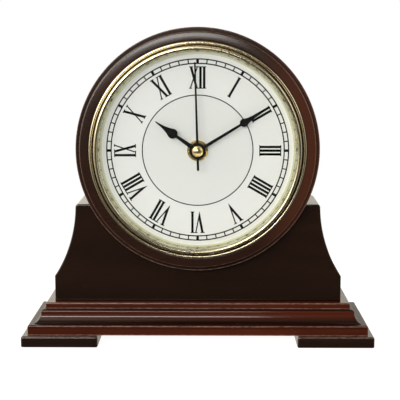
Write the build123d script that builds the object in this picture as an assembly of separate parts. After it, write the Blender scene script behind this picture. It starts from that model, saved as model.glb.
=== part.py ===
from build123d import *
import math
import os

# A wooden mantel clock with a quartz movement. Millimetres, +Z up, the dial faces -Y.
# The origin is on the table, under the middle of the plinth.

# --- driving dimensions: plinth ---
foot_half_span = 127.0
foot_length = 55.2
foot_depth = 83.0
foot_top = 8.5
foot_edge = 1.6
pad_radius = 9.0
pad_proud = 0.6
pad_recess = 1.0
board_half_width = 122.6
board_depth = 75.0
board_top = 15.8
board_edge = 1.4
mould_half_width = 118.0
mould_neck = 4.35
mould_round = 1.9
mould_top = 25.2
mould_back = 34.5
facet_top = 21.8
facet_foot = 20.5
facet_inset = 4.0
cove_middle_inset = 2.9
cove_middle = 18.25
cove_foot = 16.1
corner_edge = 0.8
fillet_half_width = 110.8
fillet_top = 29.8
fillet_edge = 1.2
pad_inset = 13.0
cross_width = 0.7
cross_depth = 0.8
foot_screw_depth = 20.0
foot_screw_length = 11.0
foot_screw_head = 3.6
foot_screw_shank = 1.7
body_screw_across = 90.0
body_screw_depths = (-4.0, 16.0)
body_screw_length = 36.0
body_screw_head = 3.8
body_screw_shank = 1.9

# --- driving dimensions: body and drum ---
body_half_width = 104.7
body_front = -19.2
body_back = 31.0
body_straight_top = 48.2
flare_radius = 96.6
shoulder_height = 101.3
shoulder_edge = 1.8
panel_thickness = 10.0
cheek_inner = 74.0
dial_height = 140.95
drum_radius = 87.35
drum_inner = 78.0
ring_front = -29.0
ring_back = -17.0
ring_step = 2.9
ring_step_depth = 4.4
ring_round = 1.25
ring_dome = 0.4
ring_edge = 0.6
ring_bore = 73.0
ring_rebate_gap = 0.1
back_board_radius = 82.8
back_board_front = 25.0
back_board_thickness = 4.0
access_half = 39.0
access_corner = 12.0
back_board_gap = 0.2
back_screw_circle = 80.4
back_screw_length = 11.0
back_screw_head = 2.3
back_screw_shank = 1.2

# --- driving dimensions: dial insert ---
bezel_radius = 77.5
bezel_back = -28.4
bead_inner = 75.2
bead_rise = 2.3
groove_floor = -28.9
groove_inner = 73.9
band_crown_radius = 72.6
band_crown = -33.6
band_foot = -31.6
lip_radius = 71.3
lip_front = -32.9
glass_edge = -32.2
glass_radius = 72.2
glass_rise = 2.4
glass_thickness = 1.4
gasket_thickness = 0.8
dial_front = -24.0
dial_thickness = 0.8
dial_inner = 68.6
sight_foot = 0.3
sight_inset = 0.2
dial_radius = 72.4
skirt_radius = 72.9
cup_back = -12.0
cup_wall = 1.8
cup_ledge = 44.0
cup_ledge_thickness = 1.5
cup_gap = 0.1
cup_screw_circle = 58.0
cup_screw_head = 1.8
cup_screw_shank = 0.9

# --- driving dimensions: hands ---
hour_angle = 304.9
minute_angle = 58.5
second_angle = 358.3
hand_thickness = 0.3
hour_hand_front = -27.6
minute_hand_front = -28.9
second_hand_front = -30.1
cap_radius = 3.9
cap_front = -32.3
cap_rim = 0.5
nut_radius = 7.5
nut_front = -26.4
nut_inset = 0.4
nut_edge = 0.3
nut_slot = 1.2
nut_slot_depth = 0.8
washer_thickness = 0.4
rubber_radius = 10.0
# Each hand: length, place and radius of its blob, then widths at the root, the neck and the tip
hour_hand_size = (36.6, 21.6, 3.6, 3.2, 2.2, 0.8)
minute_hand_size = (60.2, 38.6, 3.0, 2.5, 1.8, 0.7)
second_hand_length = 62.8
second_tail = 14.0
second_root_width = 1.7
second_tip_width = 1.1
hour_boss = 5.6
hour_collar = (3.8, 0.3)
minute_boss = 5.2
minute_collar = (2.8, 0.5)
second_boss = 3.4
second_collar = (1.5, 0.4)

# --- driving dimensions: movement ---
case_half = 28.0
case_corner = 3.0
case_wall = 1.2
case_floor = 1.5
case_front = -22.2
case_back = -6.2
cover_thickness = 1.4
bushing_radius = 4.0
bushing_front = -26.9
running_gap = 0.05
stem_hole = bushing_radius + 0.1
second_arbor = 0.75
minute_pipe_bore = second_arbor + running_gap
minute_pipe_radius = 1.90
hour_pipe_bore = minute_pipe_radius + running_gap
hour_pipe_radius = 3.0
pivot_radius = 0.5
link_radius = 0.9
reverser_link = 1.6
clutch_radius = 2.0
battery_radius = 7.1
battery_half_length = 24.3
battery_height = dial_height - 19.3
battery_middle = -13.4
battery_edge = 0.6
battery_nub = (2.7, 1.1)
battery_foot = (4.6, 0.3)
bay_half = case_half - case_wall - 0.9
bay_bottom = dial_height - case_half + case_wall + 0.2
bay_top = battery_height + battery_radius + 0.2
bay_wall = 0.9
bay_wall_half = 21.0
post_radius = 0.9
socket_radius = 2.0
knob_shaft = 1.2
knob_hole = 1.25
knob_radius = 5.6
knob_height = 3.2
knob_lift = 0.4
knob_flutes = 20
knob_flute_circle = 5.9
knob_flute = 0.55
knob_mark = (6.4, 0.9)
pivot_depth = 0.8
rib_count = 3
rib_half = 9.0
rib_pitch = 2.4
rib_width = 1.0
rib_proud = 0.4
rib_start = 21.5

# --- driving dimensions: motor and electronics ---
magnet_radius = 3.0
stator_hole = 3.5
stator_x = (-16.0, 14.0)
stator_leg = 3.5
stator_base = dial_height + 10.4
stator_height = 9.0
core_height = dial_height + 22.6
core_half = 1.4
coil_middle_x = -1.0
coil_half_length = 9.0
bobbin_radius = 2.05
winding_radius = 2.7
flange_radius = 2.9
flange_thickness = 0.8
circuit_x = (-26.4, -17.4)
circuit_z = (dial_height - 8.0, dial_height + 25.0)
component_x = -22.0
crystal_radius = 1.0
crystal_length = 6.0
crystal_height = dial_height + 14.0
chip_radius = 2.5
chip_rise = 1.0
chip_edge = 0.7
chip_height = dial_height + 4.0
contact_thickness = 0.35
contact_front = -19.5
contact_back = -8.2
contact_boss = (2.6, 0.5)
strip_front = -11.5
strip_rise = 4.5

# Layers of the wheel train, front and back faces
hour_layer = (-20.4, -19.4)
setting_layer = (-18.9, -17.9)
drive_layer = (-17.4, -16.4)
third_layer = (-15.8, -15.0)
plate_layer = (-14.5, -13.9)
plate_middle = (-4.0, 6.2)
plate_size = (32.0, 25.0)
second_layer = (-13.5, -12.7)
first_layer = (-12.2, -11.4)
magnet_layer = (-11.2, -9.2)
stator_layer = (-10.6, -9.8)
board_layer = (-9.5, -8.7)

# Teeth
rotor_teeth = 12
first_teeth = 60
first_pinion_teeth = 10
second_teeth = 60
second_pinion_teeth = 8
third_teeth = 64
third_pinion_teeth = 8
drive_teeth = 60
minute_pinion_teeth = 12
reverser_teeth = 36
reverser_pinion_teeth = 10
hour_teeth = 40
knob_teeth = 12

# Wheel centres: distance and direction (degrees, seen from the front) from the one before
first_distance = 8.4
first_direction = 80.0
rotor_distance = 7.92
rotor_direction = 60.0
third_distance = 10.8
third_direction = 150.0
reverser_distance = 9.6
reverser_direction = 30.0
knob_distance = 9.6
knob_direction = -40.0

case_interior_back = case_back - cover_thickness
case_interior_front = case_front + case_floor
pivot_end = case_interior_back + 0.7


# --- shape helpers ---
def block(x, y, z):
    """A box between pairs of limits."""
    size = Box(x[1] - x[0], y[1] - y[0], z[1] - z[0])
    return Pos((x[0] + x[1]) / 2, (y[0] + y[1]) / 2, (z[0] + z[1]) / 2) * size


def slab(sketch, y_front, y_back, x=0.0, z=dial_height):
    """A sketch seen from the front, as a plate between two depths."""
    plane = Plane(origin=(x, y_back, z), x_dir=(1, 0, 0), z_dir=(0, -1, 0))
    return extrude(plane * sketch, amount=y_back - y_front)


def disc(radius, y_front, y_back, x=0.0, z=dial_height, bore=0.0):
    sketch = Circle(radius)
    if bore:
        sketch = sketch - Circle(bore)
    return slab(sketch, y_front, y_back, x, z)


def turned(edges, x=0.0, z=dial_height):
    """A closed outline in (radius, depth), turned about an axis that runs front to back."""
    return Pos(x, 0, z) * revolve(make_face(edges), axis=Axis.Y)


def outline(*points):
    return Polyline(*points, close=True)


def polar(distance, degrees, start=(0.0, 0.0)):
    angle = math.radians(degrees)
    return (start[0] + distance * math.cos(angle), start[1] + distance * math.sin(angle))


def module_of(distance, teeth_a, teeth_b):
    return 2 * distance / (teeth_a + teeth_b)


def mesh_phase(phase_a, teeth_a, teeth_b, line):
    """Phase of wheel b that puts its tooth in a gap of wheel a, along a line from a to b."""
    pitch_a = 360 / teeth_a
    pitch_b = 360 / teeth_b
    return line + 180 + pitch_b * (0.5 - (phase_a - line) / pitch_a)


def toothed(teeth, module, phase):
    """Outline of a small moulded wheel. Narrow teeth leave play at every phase."""
    tip = module * (teeth / 2 + 0.80)
    root = module * (teeth / 2 - 1.10)
    pitch = 360 / teeth
    root_share = 0.23
    tip_share = 0.09
    points = []
    for tooth in range(teeth):
        middle = phase + tooth * pitch
        points.append(polar(root, middle - root_share * pitch))
        points.append(polar(tip, middle - tip_share * pitch))
        points.append(polar(tip, middle + tip_share * pitch))
        points.append(polar(root, middle + root_share * pitch))
    return Polygon(*points, align=None)


def lightened(teeth, module, bore, phase):
    """A larger wheel with a thin web: four windows between rim and hub."""
    rim = module * (teeth / 2 - 2.6)
    hub = max(bore + 1.3, rim * 0.32)
    window_radius = (rim - hub) * 0.40
    sketch = toothed(teeth, module, phase)
    for quarter in range(4):
        spot = polar((rim + hub) / 2, 45 + 90 * quarter)
        sketch = sketch - Pos(*spot) * Circle(window_radius)
    return sketch


def screw_hole_up(x, y, z, length, head_radius, shank_radius):
    """The room that a countersunk screw driven upwards takes, its head face at height z."""
    head_height = head_radius - shank_radius
    head = Pos(x, y, z + head_height / 2) * Cone(head_radius, shank_radius, head_height)
    shank = Pos(x, y, z + length / 2) * Cylinder(shank_radius, length)
    return head + shank


def screw_up(x, y, z, length, head_radius, shank_radius):
    """A countersunk cross-head wood screw."""
    reach = head_radius * 1.1
    slot = Box(reach, cross_width, cross_depth) + Box(cross_width, reach, cross_depth)
    screw = screw_hole_up(x, y, z, length, head_radius, shank_radius)
    return screw - Pos(x, y, z + cross_depth / 2) * slot


def screw_forward(x, y, z, length, head_radius, shank_radius):
    """A pan-head cross screw driven forwards, its seat at depth y."""
    head_height = head_radius * 0.55
    head = disc(head_radius, y, y + head_height, x, z)
    shank = disc(shank_radius, y - length, y, x, z)
    reach = head_radius * 1.2
    slot = Rectangle(reach, cross_width) + Rectangle(cross_width, reach)
    recess = slab(slot, y + head_height - cross_depth, y + head_height, x, z)
    return head + shank - recess


# --- plinth ---
def screw_places():
    """Two screws in each foot."""
    middle = foot_half_span - foot_length / 2
    depths = (-foot_screw_depth, foot_screw_depth)
    return [(side * middle, depth) for side in (-1, 1) for depth in depths]


def pad_places():
    """One felt pad near each corner of the plinth."""
    across = foot_half_span - pad_inset
    along = foot_depth / 2 - pad_inset
    return [(sx * across, sy * along) for sx in (-1, 1) for sy in (-1, 1)]


def body_screw_places():
    return [(side * body_screw_across, depth) for side in (-1, 1) for depth in body_screw_depths]


def foot_fixings(make):
    """The foot screws, or their holes, by the function given."""
    size = (foot_screw_length, foot_screw_head, foot_screw_shank)
    return [make(x, y, pad_proud, *size) for x, y in screw_places()]


def body_fixings(make):
    """The long screws up into the cheeks, or their holes."""
    size = (body_screw_length, body_screw_head, body_screw_shank)
    return [make(x, y, foot_top, *size) for x, y in body_screw_places()]


def foot_screws():
    return Compound(foot_fixings(screw_up))


def body_screws():
    return Compound(body_fixings(screw_up))


def drilled(shape, holes):
    for hole in holes:
        shape = shape - hole
    return shape


def foot(side):
    """A block foot, its edges eased, with recesses for the pads and screw holes."""
    limits = sorted((side * foot_half_span, side * (foot_half_span - foot_length)))
    shape = block(limits, (-foot_depth / 2, foot_depth / 2), (pad_proud, foot_top))
    shape = fillet(shape.edges().filter_by(Axis.Z), foot_edge)
    shape = fillet(shape.faces().sort_by(Axis.Z)[-1].edges(), foot_edge)
    shape = chamfer(shape.faces().sort_by(Axis.Z)[0].edges(), 0.5)
    for x, y in pad_places():
        if x * side > 0:
            height = pad_recess + pad_proud
            shape = shape - Pos(x, y, height / 2) * Cylinder(pad_radius, height)
    return drilled(shape, foot_fixings(screw_hole_up))


def foot_pads():
    height = pad_recess + pad_proud
    return Compound([Pos(x, y, height / 2) * Cylinder(pad_radius, height) for x, y in pad_places()])


def base_board():
    limits = (-board_half_width, board_half_width)
    shape = block(limits, (-board_depth / 2, board_depth / 2), (foot_top, board_top))
    shape = fillet(shape.edges().filter_by(Axis.Z), corner_edge)
    shape = fillet(shape.faces().sort_by(Axis.Z)[-1].edges(), board_edge)
    shape = drilled(shape, foot_fixings(screw_hole_up))
    return drilled(shape, body_fixings(screw_hole_up))


def moulding_edge(half):
    """Half outline of the moulded board, as (distance from the middle, height) lines and arcs."""
    neck = half - mould_neck
    spring = mould_top - mould_round
    cove_start = (half, cove_foot)
    cove_end = (half - facet_inset, facet_foot)
    share = mould_round * (1 - math.sqrt(0.5))
    crown = (neck - share, mould_top - share)
    return [
        Line((half, board_top), cove_start),
        ThreePointArc(cove_start, (half - cove_middle_inset, cove_middle), cove_end),
        Line(cove_end, (neck, facet_top)),
        Line((neck, facet_top), (neck, spring)),
        ThreePointArc((neck, spring), crown, (neck - mould_round, mould_top)),
    ]


def moulded_board():
    """A round over a cove, run round the front and both ends and mitred at the corners."""
    end_edges = moulding_edge(mould_half_width)
    ends = Curve() + end_edges
    ends = ends + mirror(ends, about=Plane.YZ)
    top_half = end_edges[-1].position_at(1).X
    ends = ends + Line((-top_half, mould_top), (top_half, mould_top))
    ends = ends + Line((-mould_half_width, board_top), (mould_half_width, board_top))
    depth = board_depth / 2 - (board_half_width - mould_half_width)
    front_edges = moulding_edge(depth)
    front = Curve() + front_edges
    front_top = front_edges[-1].position_at(1).X
    front = front + Line((front_top, mould_top), (-mould_back, mould_top))
    front = front + Line((-mould_back, mould_top), (-mould_back, board_top))
    front = front + Line((-mould_back, board_top), (depth, board_top))
    end_plane = Plane(origin=(0, mould_back, 0), x_dir=(1, 0, 0), z_dir=(0, -1, 0))
    side_plane = Plane(origin=(mould_half_width, 0, 0), x_dir=(0, -1, 0), z_dir=(-1, 0, 0))
    across = extrude(end_plane * make_face(ends), amount=mould_back + depth)
    along = extrude(side_plane * make_face(front), amount=2 * mould_half_width)
    return drilled(across & along, body_fixings(screw_hole_up))


def plinth_top():
    """The plain fillet under the body."""
    front = -(board_depth / 2 - (board_half_width - fillet_half_width))
    limits = (-fillet_half_width, fillet_half_width)
    shape = block(limits, (front, mould_back), (mould_top, fillet_top))
    shape = fillet(shape.edges().filter_by(Axis.Z), corner_edge)
    shape = fillet(shape.faces().sort_by(Axis.Z)[-1].edges(), fillet_edge)
    return drilled(shape, body_fixings(screw_hole_up))


# --- body ---
def flare_bulge(height):
    """How far the side stands outside its narrowest line at a height."""
    drop = shoulder_height - height
    return flare_radius - math.sqrt(flare_radius**2 - drop**2)


def body_outline():
    """The flared front outline, with the shoulders at the top and the foot of the body flat."""
    narrow = body_half_width - flare_bulge(body_straight_top)
    middle_height = (shoulder_height + body_straight_top) / 2
    corner = (body_half_width, body_straight_top)
    half = Curve() + Line((0, fillet_top), (body_half_width, fillet_top))
    half = half + Line((body_half_width, fillet_top), corner)
    flare_middle = (narrow + flare_bulge(middle_height), middle_height)
    shoulder = (narrow, shoulder_height - shoulder_edge)
    half = half + ThreePointArc(corner, flare_middle, shoulder)
    rounding = (narrow - shoulder_edge * 0.29, shoulder_height - shoulder_edge * 0.29)
    inner = (narrow - shoulder_edge, shoulder_height)
    half = half + ThreePointArc(shoulder, rounding, inner)
    half = half + Line(inner, (0, shoulder_height))
    return make_face(half + mirror(half, about=Plane.YZ))


def body_slice(y_front, y_back):
    """A slice of the flared body with the round cradle for the drum cut out of it."""
    shape = slab(body_outline(), y_front, y_back, 0, 0)
    return shape - disc(drum_radius, y_front - 1, y_back + 1)


def front_panel():
    return body_slice(body_front, body_front + panel_thickness)


def back_panel():
    return body_slice(body_back - panel_thickness, body_back)


def cheek(side):
    """A solid side of the body, between the front and back panels."""
    front = body_front + panel_thickness
    back = body_back - panel_thickness
    limits = sorted((side * cheek_inner, side * body_half_width))
    keep = block(limits, (front, back), (fillet_top, shoulder_height))
    shape = body_slice(front, back) & keep
    return drilled(shape, body_fixings(screw_hole_up))


# --- drum ---
def drum_shell():
    """The round wall, with a rebate at the back for the back board."""
    shape = disc(drum_radius, ring_back, body_back, bore=drum_inner)
    shape = shape - disc(back_board_radius + back_board_gap, back_board_front, body_back + 1)
    return drilled(shape, back_board_screws().solids())


def drum_front_ring():
    """Turned ring: an outer step, a small shoulder and a gently domed face, rebated for the bezel."""
    step_floor = ring_front + ring_step_depth
    step_inner = drum_radius - ring_step
    rebate = bezel_radius + ring_rebate_gap
    crown = step_inner - ring_round
    crown_depth = ring_front + ring_dome
    dome_middle = ((rebate + crown) / 2, ring_front + ring_dome / 4)
    spring = crown_depth + ring_round
    share = ring_round * (1 - math.sqrt(0.5))
    round_middle = (step_inner - share, crown_depth + share)
    rim = drum_radius - ring_edge
    edges = [
        Line((ring_bore, ring_back), (drum_radius, ring_back)),
        Line((drum_radius, ring_back), (drum_radius, step_floor + ring_edge)),
        Line((drum_radius, step_floor + ring_edge), (rim, step_floor)),
        Line((rim, step_floor), (step_inner, step_floor)),
        Line((step_inner, step_floor), (step_inner, spring)),
        ThreePointArc((step_inner, spring), round_middle, (crown, crown_depth)),
        ThreePointArc((crown, crown_depth), dome_middle, (rebate, ring_front)),
        Line((rebate, ring_front), (rebate, bezel_back)),
        Line((rebate, bezel_back), (ring_bore, bezel_back)),
        Line((ring_bore, bezel_back), (ring_bore, ring_back)),
    ]
    return turned(edges)


def back_board():
    opening = RectangleRounded(2 * access_half, 2 * access_half, access_corner)
    back = back_board_front + back_board_thickness
    shape = slab(Circle(back_board_radius) - opening, back_board_front, back)
    shape = chamfer(shape.faces().sort_by(Axis.Y)[-1].edges(), 0.4)
    return drilled(shape, back_board_screws().solids())


def back_board_screws():
    """Four screws on the diagonals, into the ledge of the shell."""
    seat = back_board_front + back_board_thickness
    screws = []
    for quarter in range(4):
        x, z = polar(back_screw_circle, 45 + 90 * quarter, (0, dial_height))
        screws.append(screw_forward(x, seat, z, back_screw_length, back_screw_head, back_screw_shank))
    return Compound(screws)


# --- dial insert ---
def bezel():
    """Brass bezel: a thin outer bead, a groove, and a broad rounded band with a lip for the glass."""
    bead_crown = ((bezel_radius + bead_inner) / 2, bezel_back - bead_rise)
    root = bezel_back - bead_rise / 2
    lip = (lip_radius, lip_front)
    edges = [
        Line((bezel_radius, bezel_back), (bezel_radius, root)),
        ThreePointArc((bezel_radius, root), bead_crown, (bead_inner, root)),
        Line((bead_inner, root), (bead_inner, groove_floor)),
        Line((bead_inner, groove_floor), (groove_inner, groove_floor)),
        Line((groove_inner, groove_floor), (groove_inner, band_foot)),
        ThreePointArc((groove_inner, band_foot), (band_crown_radius, band_crown), lip),
        Line(lip, (lip_radius, glass_edge)),
        Line((lip_radius, glass_edge), (glass_radius, glass_edge)),
        Line((glass_radius, glass_edge), (glass_radius, dial_front)),
        Line((glass_radius, dial_front), (skirt_radius, dial_front)),
        Line((skirt_radius, dial_front), (skirt_radius, bezel_back)),
        Line((skirt_radius, bezel_back), (bezel_radius, bezel_back)),
    ]
    return turned(edges)


def dome_depth(radius, crown, sphere):
    return crown + sphere - math.sqrt(sphere**2 - radius**2)


def glass():
    """A domed glass with a flat rim. It is one thickness all over."""
    sphere = (lip_radius**2 + glass_rise**2) / (2 * glass_rise)
    crown = glass_edge - glass_rise
    half = lip_radius / 2
    outer_start = (0, crown)
    outer_middle = (half, dome_depth(half, crown, sphere))
    outer_end = (lip_radius, glass_edge)
    inner_start = (0, crown + glass_thickness)
    inner_middle = (half, outer_middle[1] + glass_thickness)
    inner_end = (lip_radius, glass_edge + glass_thickness)
    rim_front = (glass_radius, glass_edge)
    rim_back = (glass_radius, glass_edge + glass_thickness)
    edges = [
        ThreePointArc(outer_start, outer_middle, outer_end),
        Line(outer_end, rim_front),
        Line(rim_front, rim_back),
        Line(rim_back, inner_end),
        ThreePointArc(inner_end, inner_middle, inner_start),
        Line(inner_start, outer_start),
    ]
    return turned(edges)


def glass_gasket():
    front = glass_edge + glass_thickness
    return disc(glass_radius, front, front + gasket_thickness, bore=lip_radius)


def sight_ring():
    """The bright slope between the glass and the dial."""
    front = glass_edge + glass_thickness + gasket_thickness
    profile = outline(
        (lip_radius, front),
        (glass_radius, front),
        (glass_radius, dial_front),
        (dial_inner, dial_front),
        (dial_inner, dial_front - sight_foot),
        (lip_radius - sight_inset, front),
    )
    return turned([profile])


def dial():
    return disc(dial_radius, dial_front, dial_front + dial_thickness, bore=stem_hole)


def insert_cup():
    """The cup behind the dial: an outer wall and a ledge that backs the dial."""
    front = dial_front + dial_thickness
    outside = ring_bore - cup_gap
    wall = disc(outside, front, cup_back, bore=outside - cup_wall)
    ledge = disc(outside, front, front + cup_ledge_thickness, bore=cup_ledge)
    return drilled(wall + ledge, cup_screws().solids())


def cup_screws():
    """Three small screws through the ledge into the dial's rim."""
    seat = dial_front + dial_thickness + cup_ledge_thickness
    screws = []
    for third in range(3):
        x, z = polar(cup_screw_circle, 90 + 120 * third, (0, dial_height))
        size = (cup_ledge_thickness, cup_screw_head, cup_screw_shank)
        screws.append(screw_forward(x, seat, z, *size))
    return Compound(screws)


def rubber_washer():
    return disc(rubber_radius, dial_front + dial_thickness, case_front, bore=stem_hole)


def brass_washer():
    front = dial_front - washer_thickness
    return disc(nut_radius, front, dial_front, bore=bushing_radius + running_gap)


def hand_nut():
    """Round brass nut with a chamfered rim and two spanner slots."""
    seat = dial_front - washer_thickness
    shape = disc(nut_radius - nut_inset, nut_front, seat, bore=bushing_radius)
    shape = chamfer(shape.faces().sort_by(Axis.Y)[0].edges(), nut_edge)
    slot = slab(Rectangle(2 * nut_radius, nut_slot), nut_front - 1, nut_front + nut_slot_depth)
    core = disc(bushing_radius + nut_slot, nut_front - 2, nut_front + 1)
    return shape - (slot - core)


# --- hands ---
def spade_sketch(length, blob_place, blob_radius, root_width, neck_width, tip_width):
    """A hand that points up: a tapering stem, a round blob, and a hollow taper to the tip."""
    neck_angle = math.asin(neck_width / 2 / blob_radius)
    neck = (neck_width / 2, blob_place - blob_radius * math.cos(neck_angle))
    widest = (blob_radius, blob_place)
    lift = math.radians(30)
    shoulder = (blob_radius * math.cos(lift), blob_place + blob_radius * math.sin(lift))
    reach = length - blob_place
    pull_1 = (shoulder[0] - 0.17 * reach * math.sin(lift), shoulder[1] + 0.17 * reach)
    pull_2 = (tip_width / 2 + 0.03 * reach, blob_place + 0.55 * reach)
    tip = (tip_width / 2, length - tip_width / 2)
    half = Curve() + Line((0, 0), (root_width / 2, 0))
    half = half + Line((root_width / 2, 0), neck)
    half = half + ThreePointArc(neck, widest, shoulder)
    half = half + Bezier(shoulder, pull_1, pull_2, tip)
    half = half + ThreePointArc(tip, (tip_width * 0.35, length - tip_width * 0.146), (0, length))
    return make_face(half + mirror(half, about=Plane.YZ))


def hand(sketch, front, angle, boss_radius, bore, collar):
    """A flat hand turned clockwise by an angle, with a round boss and a collar on its pipe."""
    turned_sketch = Rot(0, 0, -angle) * sketch
    flat = turned_sketch + Circle(boss_radius) - Circle(bore)
    seat = front + hand_thickness
    collar_radius, collar_length = collar
    return slab(flat, front, seat) + disc(collar_radius, seat, seat + collar_length, bore=bore)


def hour_hand():
    sketch = spade_sketch(*hour_hand_size)
    return hand(sketch, hour_hand_front, hour_angle, hour_boss, hour_pipe_radius, hour_collar)


def minute_hand():
    sketch = spade_sketch(*minute_hand_size)
    return hand(sketch, minute_hand_front, minute_angle, minute_boss, minute_pipe_radius, minute_collar)


def second_hand():
    """A needle with a blunt counterweight tail."""
    root = second_root_width / 2
    tip = second_tip_width / 2
    length = second_hand_length
    needle = Polygon((-root, 0), (root, 0), (tip, length), (-tip, length), align=None)
    tail = Pos(0, -second_tail / 2) * RectangleRounded(second_root_width, second_tail, 0.8 * root)
    return hand(needle + tail, second_hand_front, second_angle, second_boss, second_arbor, second_collar)


def second_cap():
    """The domed brass button on the second hand."""
    rim = second_hand_front - cap_rim
    rise = rim - cap_front
    sphere = (cap_radius**2 + rise**2) / (2 * rise)
    half = cap_radius / 2
    edges = [
        Line((0, cap_front), (0, second_hand_front)),
        Line((0, second_hand_front), (cap_radius, second_hand_front)),
        Line((cap_radius, second_hand_front), (cap_radius, rim)),
        ThreePointArc((cap_radius, rim), (half, dome_depth(half, cap_front, sphere)), (0, cap_front)),
    ]
    return turned(edges)


# --- movement ---
centre = (0.0, dial_height)
first_place = polar(first_distance, first_direction, centre)
rotor_place = polar(rotor_distance, rotor_direction, first_place)
third_place = polar(third_distance, third_direction, centre)
reverser_place = polar(reverser_distance, reverser_direction, centre)
knob_place = polar(knob_distance, knob_direction, reverser_place)


def movement_front_case():
    """Tray with a partition over the battery bay, pivot posts and a threaded-stem hole."""
    square = RectangleRounded(2 * case_half, 2 * case_half, case_corner)
    inner_size = 2 * (case_half - case_wall)
    inner = RectangleRounded(inner_size, inner_size, case_corner - case_wall)
    shape = slab(square, case_front, case_interior_back)
    shape = shape - slab(inner, case_interior_front, case_interior_back + 1)
    depths = (case_interior_front, case_interior_back)
    shape = shape + block((-bay_wall_half, bay_wall_half), depths, (bay_top, bay_top + bay_wall))
    shape = shape - disc(bushing_radius, case_front - 1, case_interior_front + 1)
    post_end = setting_layer[1] + 0.2
    shape = shape + disc(post_radius, case_interior_front, post_end, *reverser_place)
    socket_end = setting_layer[0] - 0.3
    socket = disc(socket_radius, case_interior_front, socket_end, *knob_place, bore=knob_hole)
    bore = pivot_radius + running_gap
    pivot_socket = disc(knob_shaft, case_interior_front, hour_layer[1], *third_place, bore=bore)
    return shape + socket + pivot_socket


def threaded_bushing():
    """The stem through the dial, chamfered where the nut starts."""
    bore = hour_pipe_radius + running_gap
    shape = disc(bushing_radius, bushing_front, case_interior_front, bore=bore)
    rim = shape.faces().sort_by(Axis.Y)[0].edges().sort_by(SortBy.LENGTH)[-1]
    return chamfer(rim, 0.35)


def movement_rear_case():
    """Back cover with the battery opening and the hole for the setting shaft."""
    square = RectangleRounded(2 * case_half, 2 * case_half, case_corner)
    shape = slab(square, case_interior_back, case_back)
    through = (case_interior_back - 1, case_back + 1)
    shape = shape - block((-bay_half, bay_half), through, (bay_bottom, bay_top))
    shape = shape - disc(knob_hole, *through, *knob_place)
    blind = case_interior_back + pivot_depth
    for place in (centre, first_place, rotor_place):
        shape = shape - disc(pivot_radius + running_gap, case_interior_back, blind, *place)
    for rib in range(rib_count):
        height = dial_height + rib_start - rib_pitch * rib
        ends = (case_back, case_back + rib_proud)
        shape = shape + block((-rib_half, rib_half), ends, (height, height + rib_width))
    return shape


def train_plate():
    """Middle plate that carries the pivots of the going train."""
    outside = Pos(*plate_middle) * RectangleRounded(*plate_size, case_corner)
    shape = slab(outside, *plate_layer)
    through = (plate_layer[0] - 1, plate_layer[1] + 1)
    shape = shape - disc(second_arbor + running_gap, *through)
    for place in (first_place, rotor_place, third_place):
        shape = shape - disc(pivot_radius + running_gap, *through, *place)
    return shape


first_module = module_of(rotor_distance, rotor_teeth, first_teeth)
second_module = module_of(first_distance, first_pinion_teeth, second_teeth)
third_module = module_of(third_distance, second_pinion_teeth, third_teeth)
drive_module = module_of(third_distance, third_pinion_teeth, drive_teeth)
setting_module = module_of(reverser_distance, minute_pinion_teeth, reverser_teeth)
hour_module = module_of(reverser_distance, reverser_pinion_teeth, hour_teeth)


def rotor_magnet():
    """Two-pole magnet disc on its arbor."""
    shape = disc(magnet_radius, *magnet_layer, *rotor_place)
    arbor = disc(pivot_radius, plate_layer[0], pivot_end, *rotor_place)
    return shape + arbor


def rotor_pinion():
    phase = mesh_phase(0, first_teeth, rotor_teeth, rotor_direction)
    sketch = toothed(rotor_teeth, first_module, phase) - Circle(pivot_radius)
    return slab(sketch, *first_layer, *rotor_place)


def intermediate_wheel():
    wheel = slab(lightened(first_teeth, first_module, pivot_radius, 0), *first_layer, *first_place)
    phase = mesh_phase(0, second_teeth, first_pinion_teeth, first_direction)
    pinion = slab(toothed(first_pinion_teeth, second_module, phase), *second_layer, *first_place)
    link = disc(link_radius, second_layer[1], first_layer[0], *first_place)
    arbor = disc(pivot_radius, plate_layer[0], pivot_end, *first_place)
    return wheel + pinion + link + arbor


def second_wheel():
    """Wheel and pinion on the long arbor that carries the second hand."""
    wheel = slab(lightened(second_teeth, second_module, second_arbor, 0), *second_layer)
    pinion = slab(toothed(second_pinion_teeth, third_module, 0), *third_layer)
    arbor = disc(second_arbor, second_hand_front, second_layer[1])
    pivot = disc(pivot_radius, second_layer[1], pivot_end)
    return wheel + pinion + arbor + pivot


def third_wheel():
    phase = mesh_phase(0, second_pinion_teeth, third_teeth, third_direction)
    wheel = slab(lightened(third_teeth, third_module, pivot_radius, phase), *third_layer, *third_place)
    pinion_phase = mesh_phase(0, drive_teeth, third_pinion_teeth, third_direction)
    pinion = slab(toothed(third_pinion_teeth, drive_module, pinion_phase), *drive_layer, *third_place)
    link = disc(link_radius, drive_layer[1], third_layer[0], *third_place)
    arbor = disc(pivot_radius, case_interior_front + 0.1, plate_layer[1], *third_place)
    return wheel + pinion + link + arbor


def minute_drive_wheel():
    """The rim of the slip clutch. It grips the minute pipe by friction."""
    bore = clutch_radius + running_gap
    sketch = lightened(drive_teeth, drive_module, bore, 0) - Circle(bore)
    return slab(sketch, *drive_layer)


def minute_pipe():
    """The pipe that carries the minute hand, with the pinion of the motion work."""
    pipe = disc(minute_pipe_radius, minute_hand_front, setting_layer[0])
    pinion = slab(toothed(minute_pinion_teeth, setting_module, 0), *setting_layer)
    seat = disc(clutch_radius, setting_layer[1], drive_layer[1] + 0.3)
    return pipe + pinion + seat - disc(minute_pipe_bore, minute_hand_front - 1, drive_layer[1] + 1)


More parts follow.
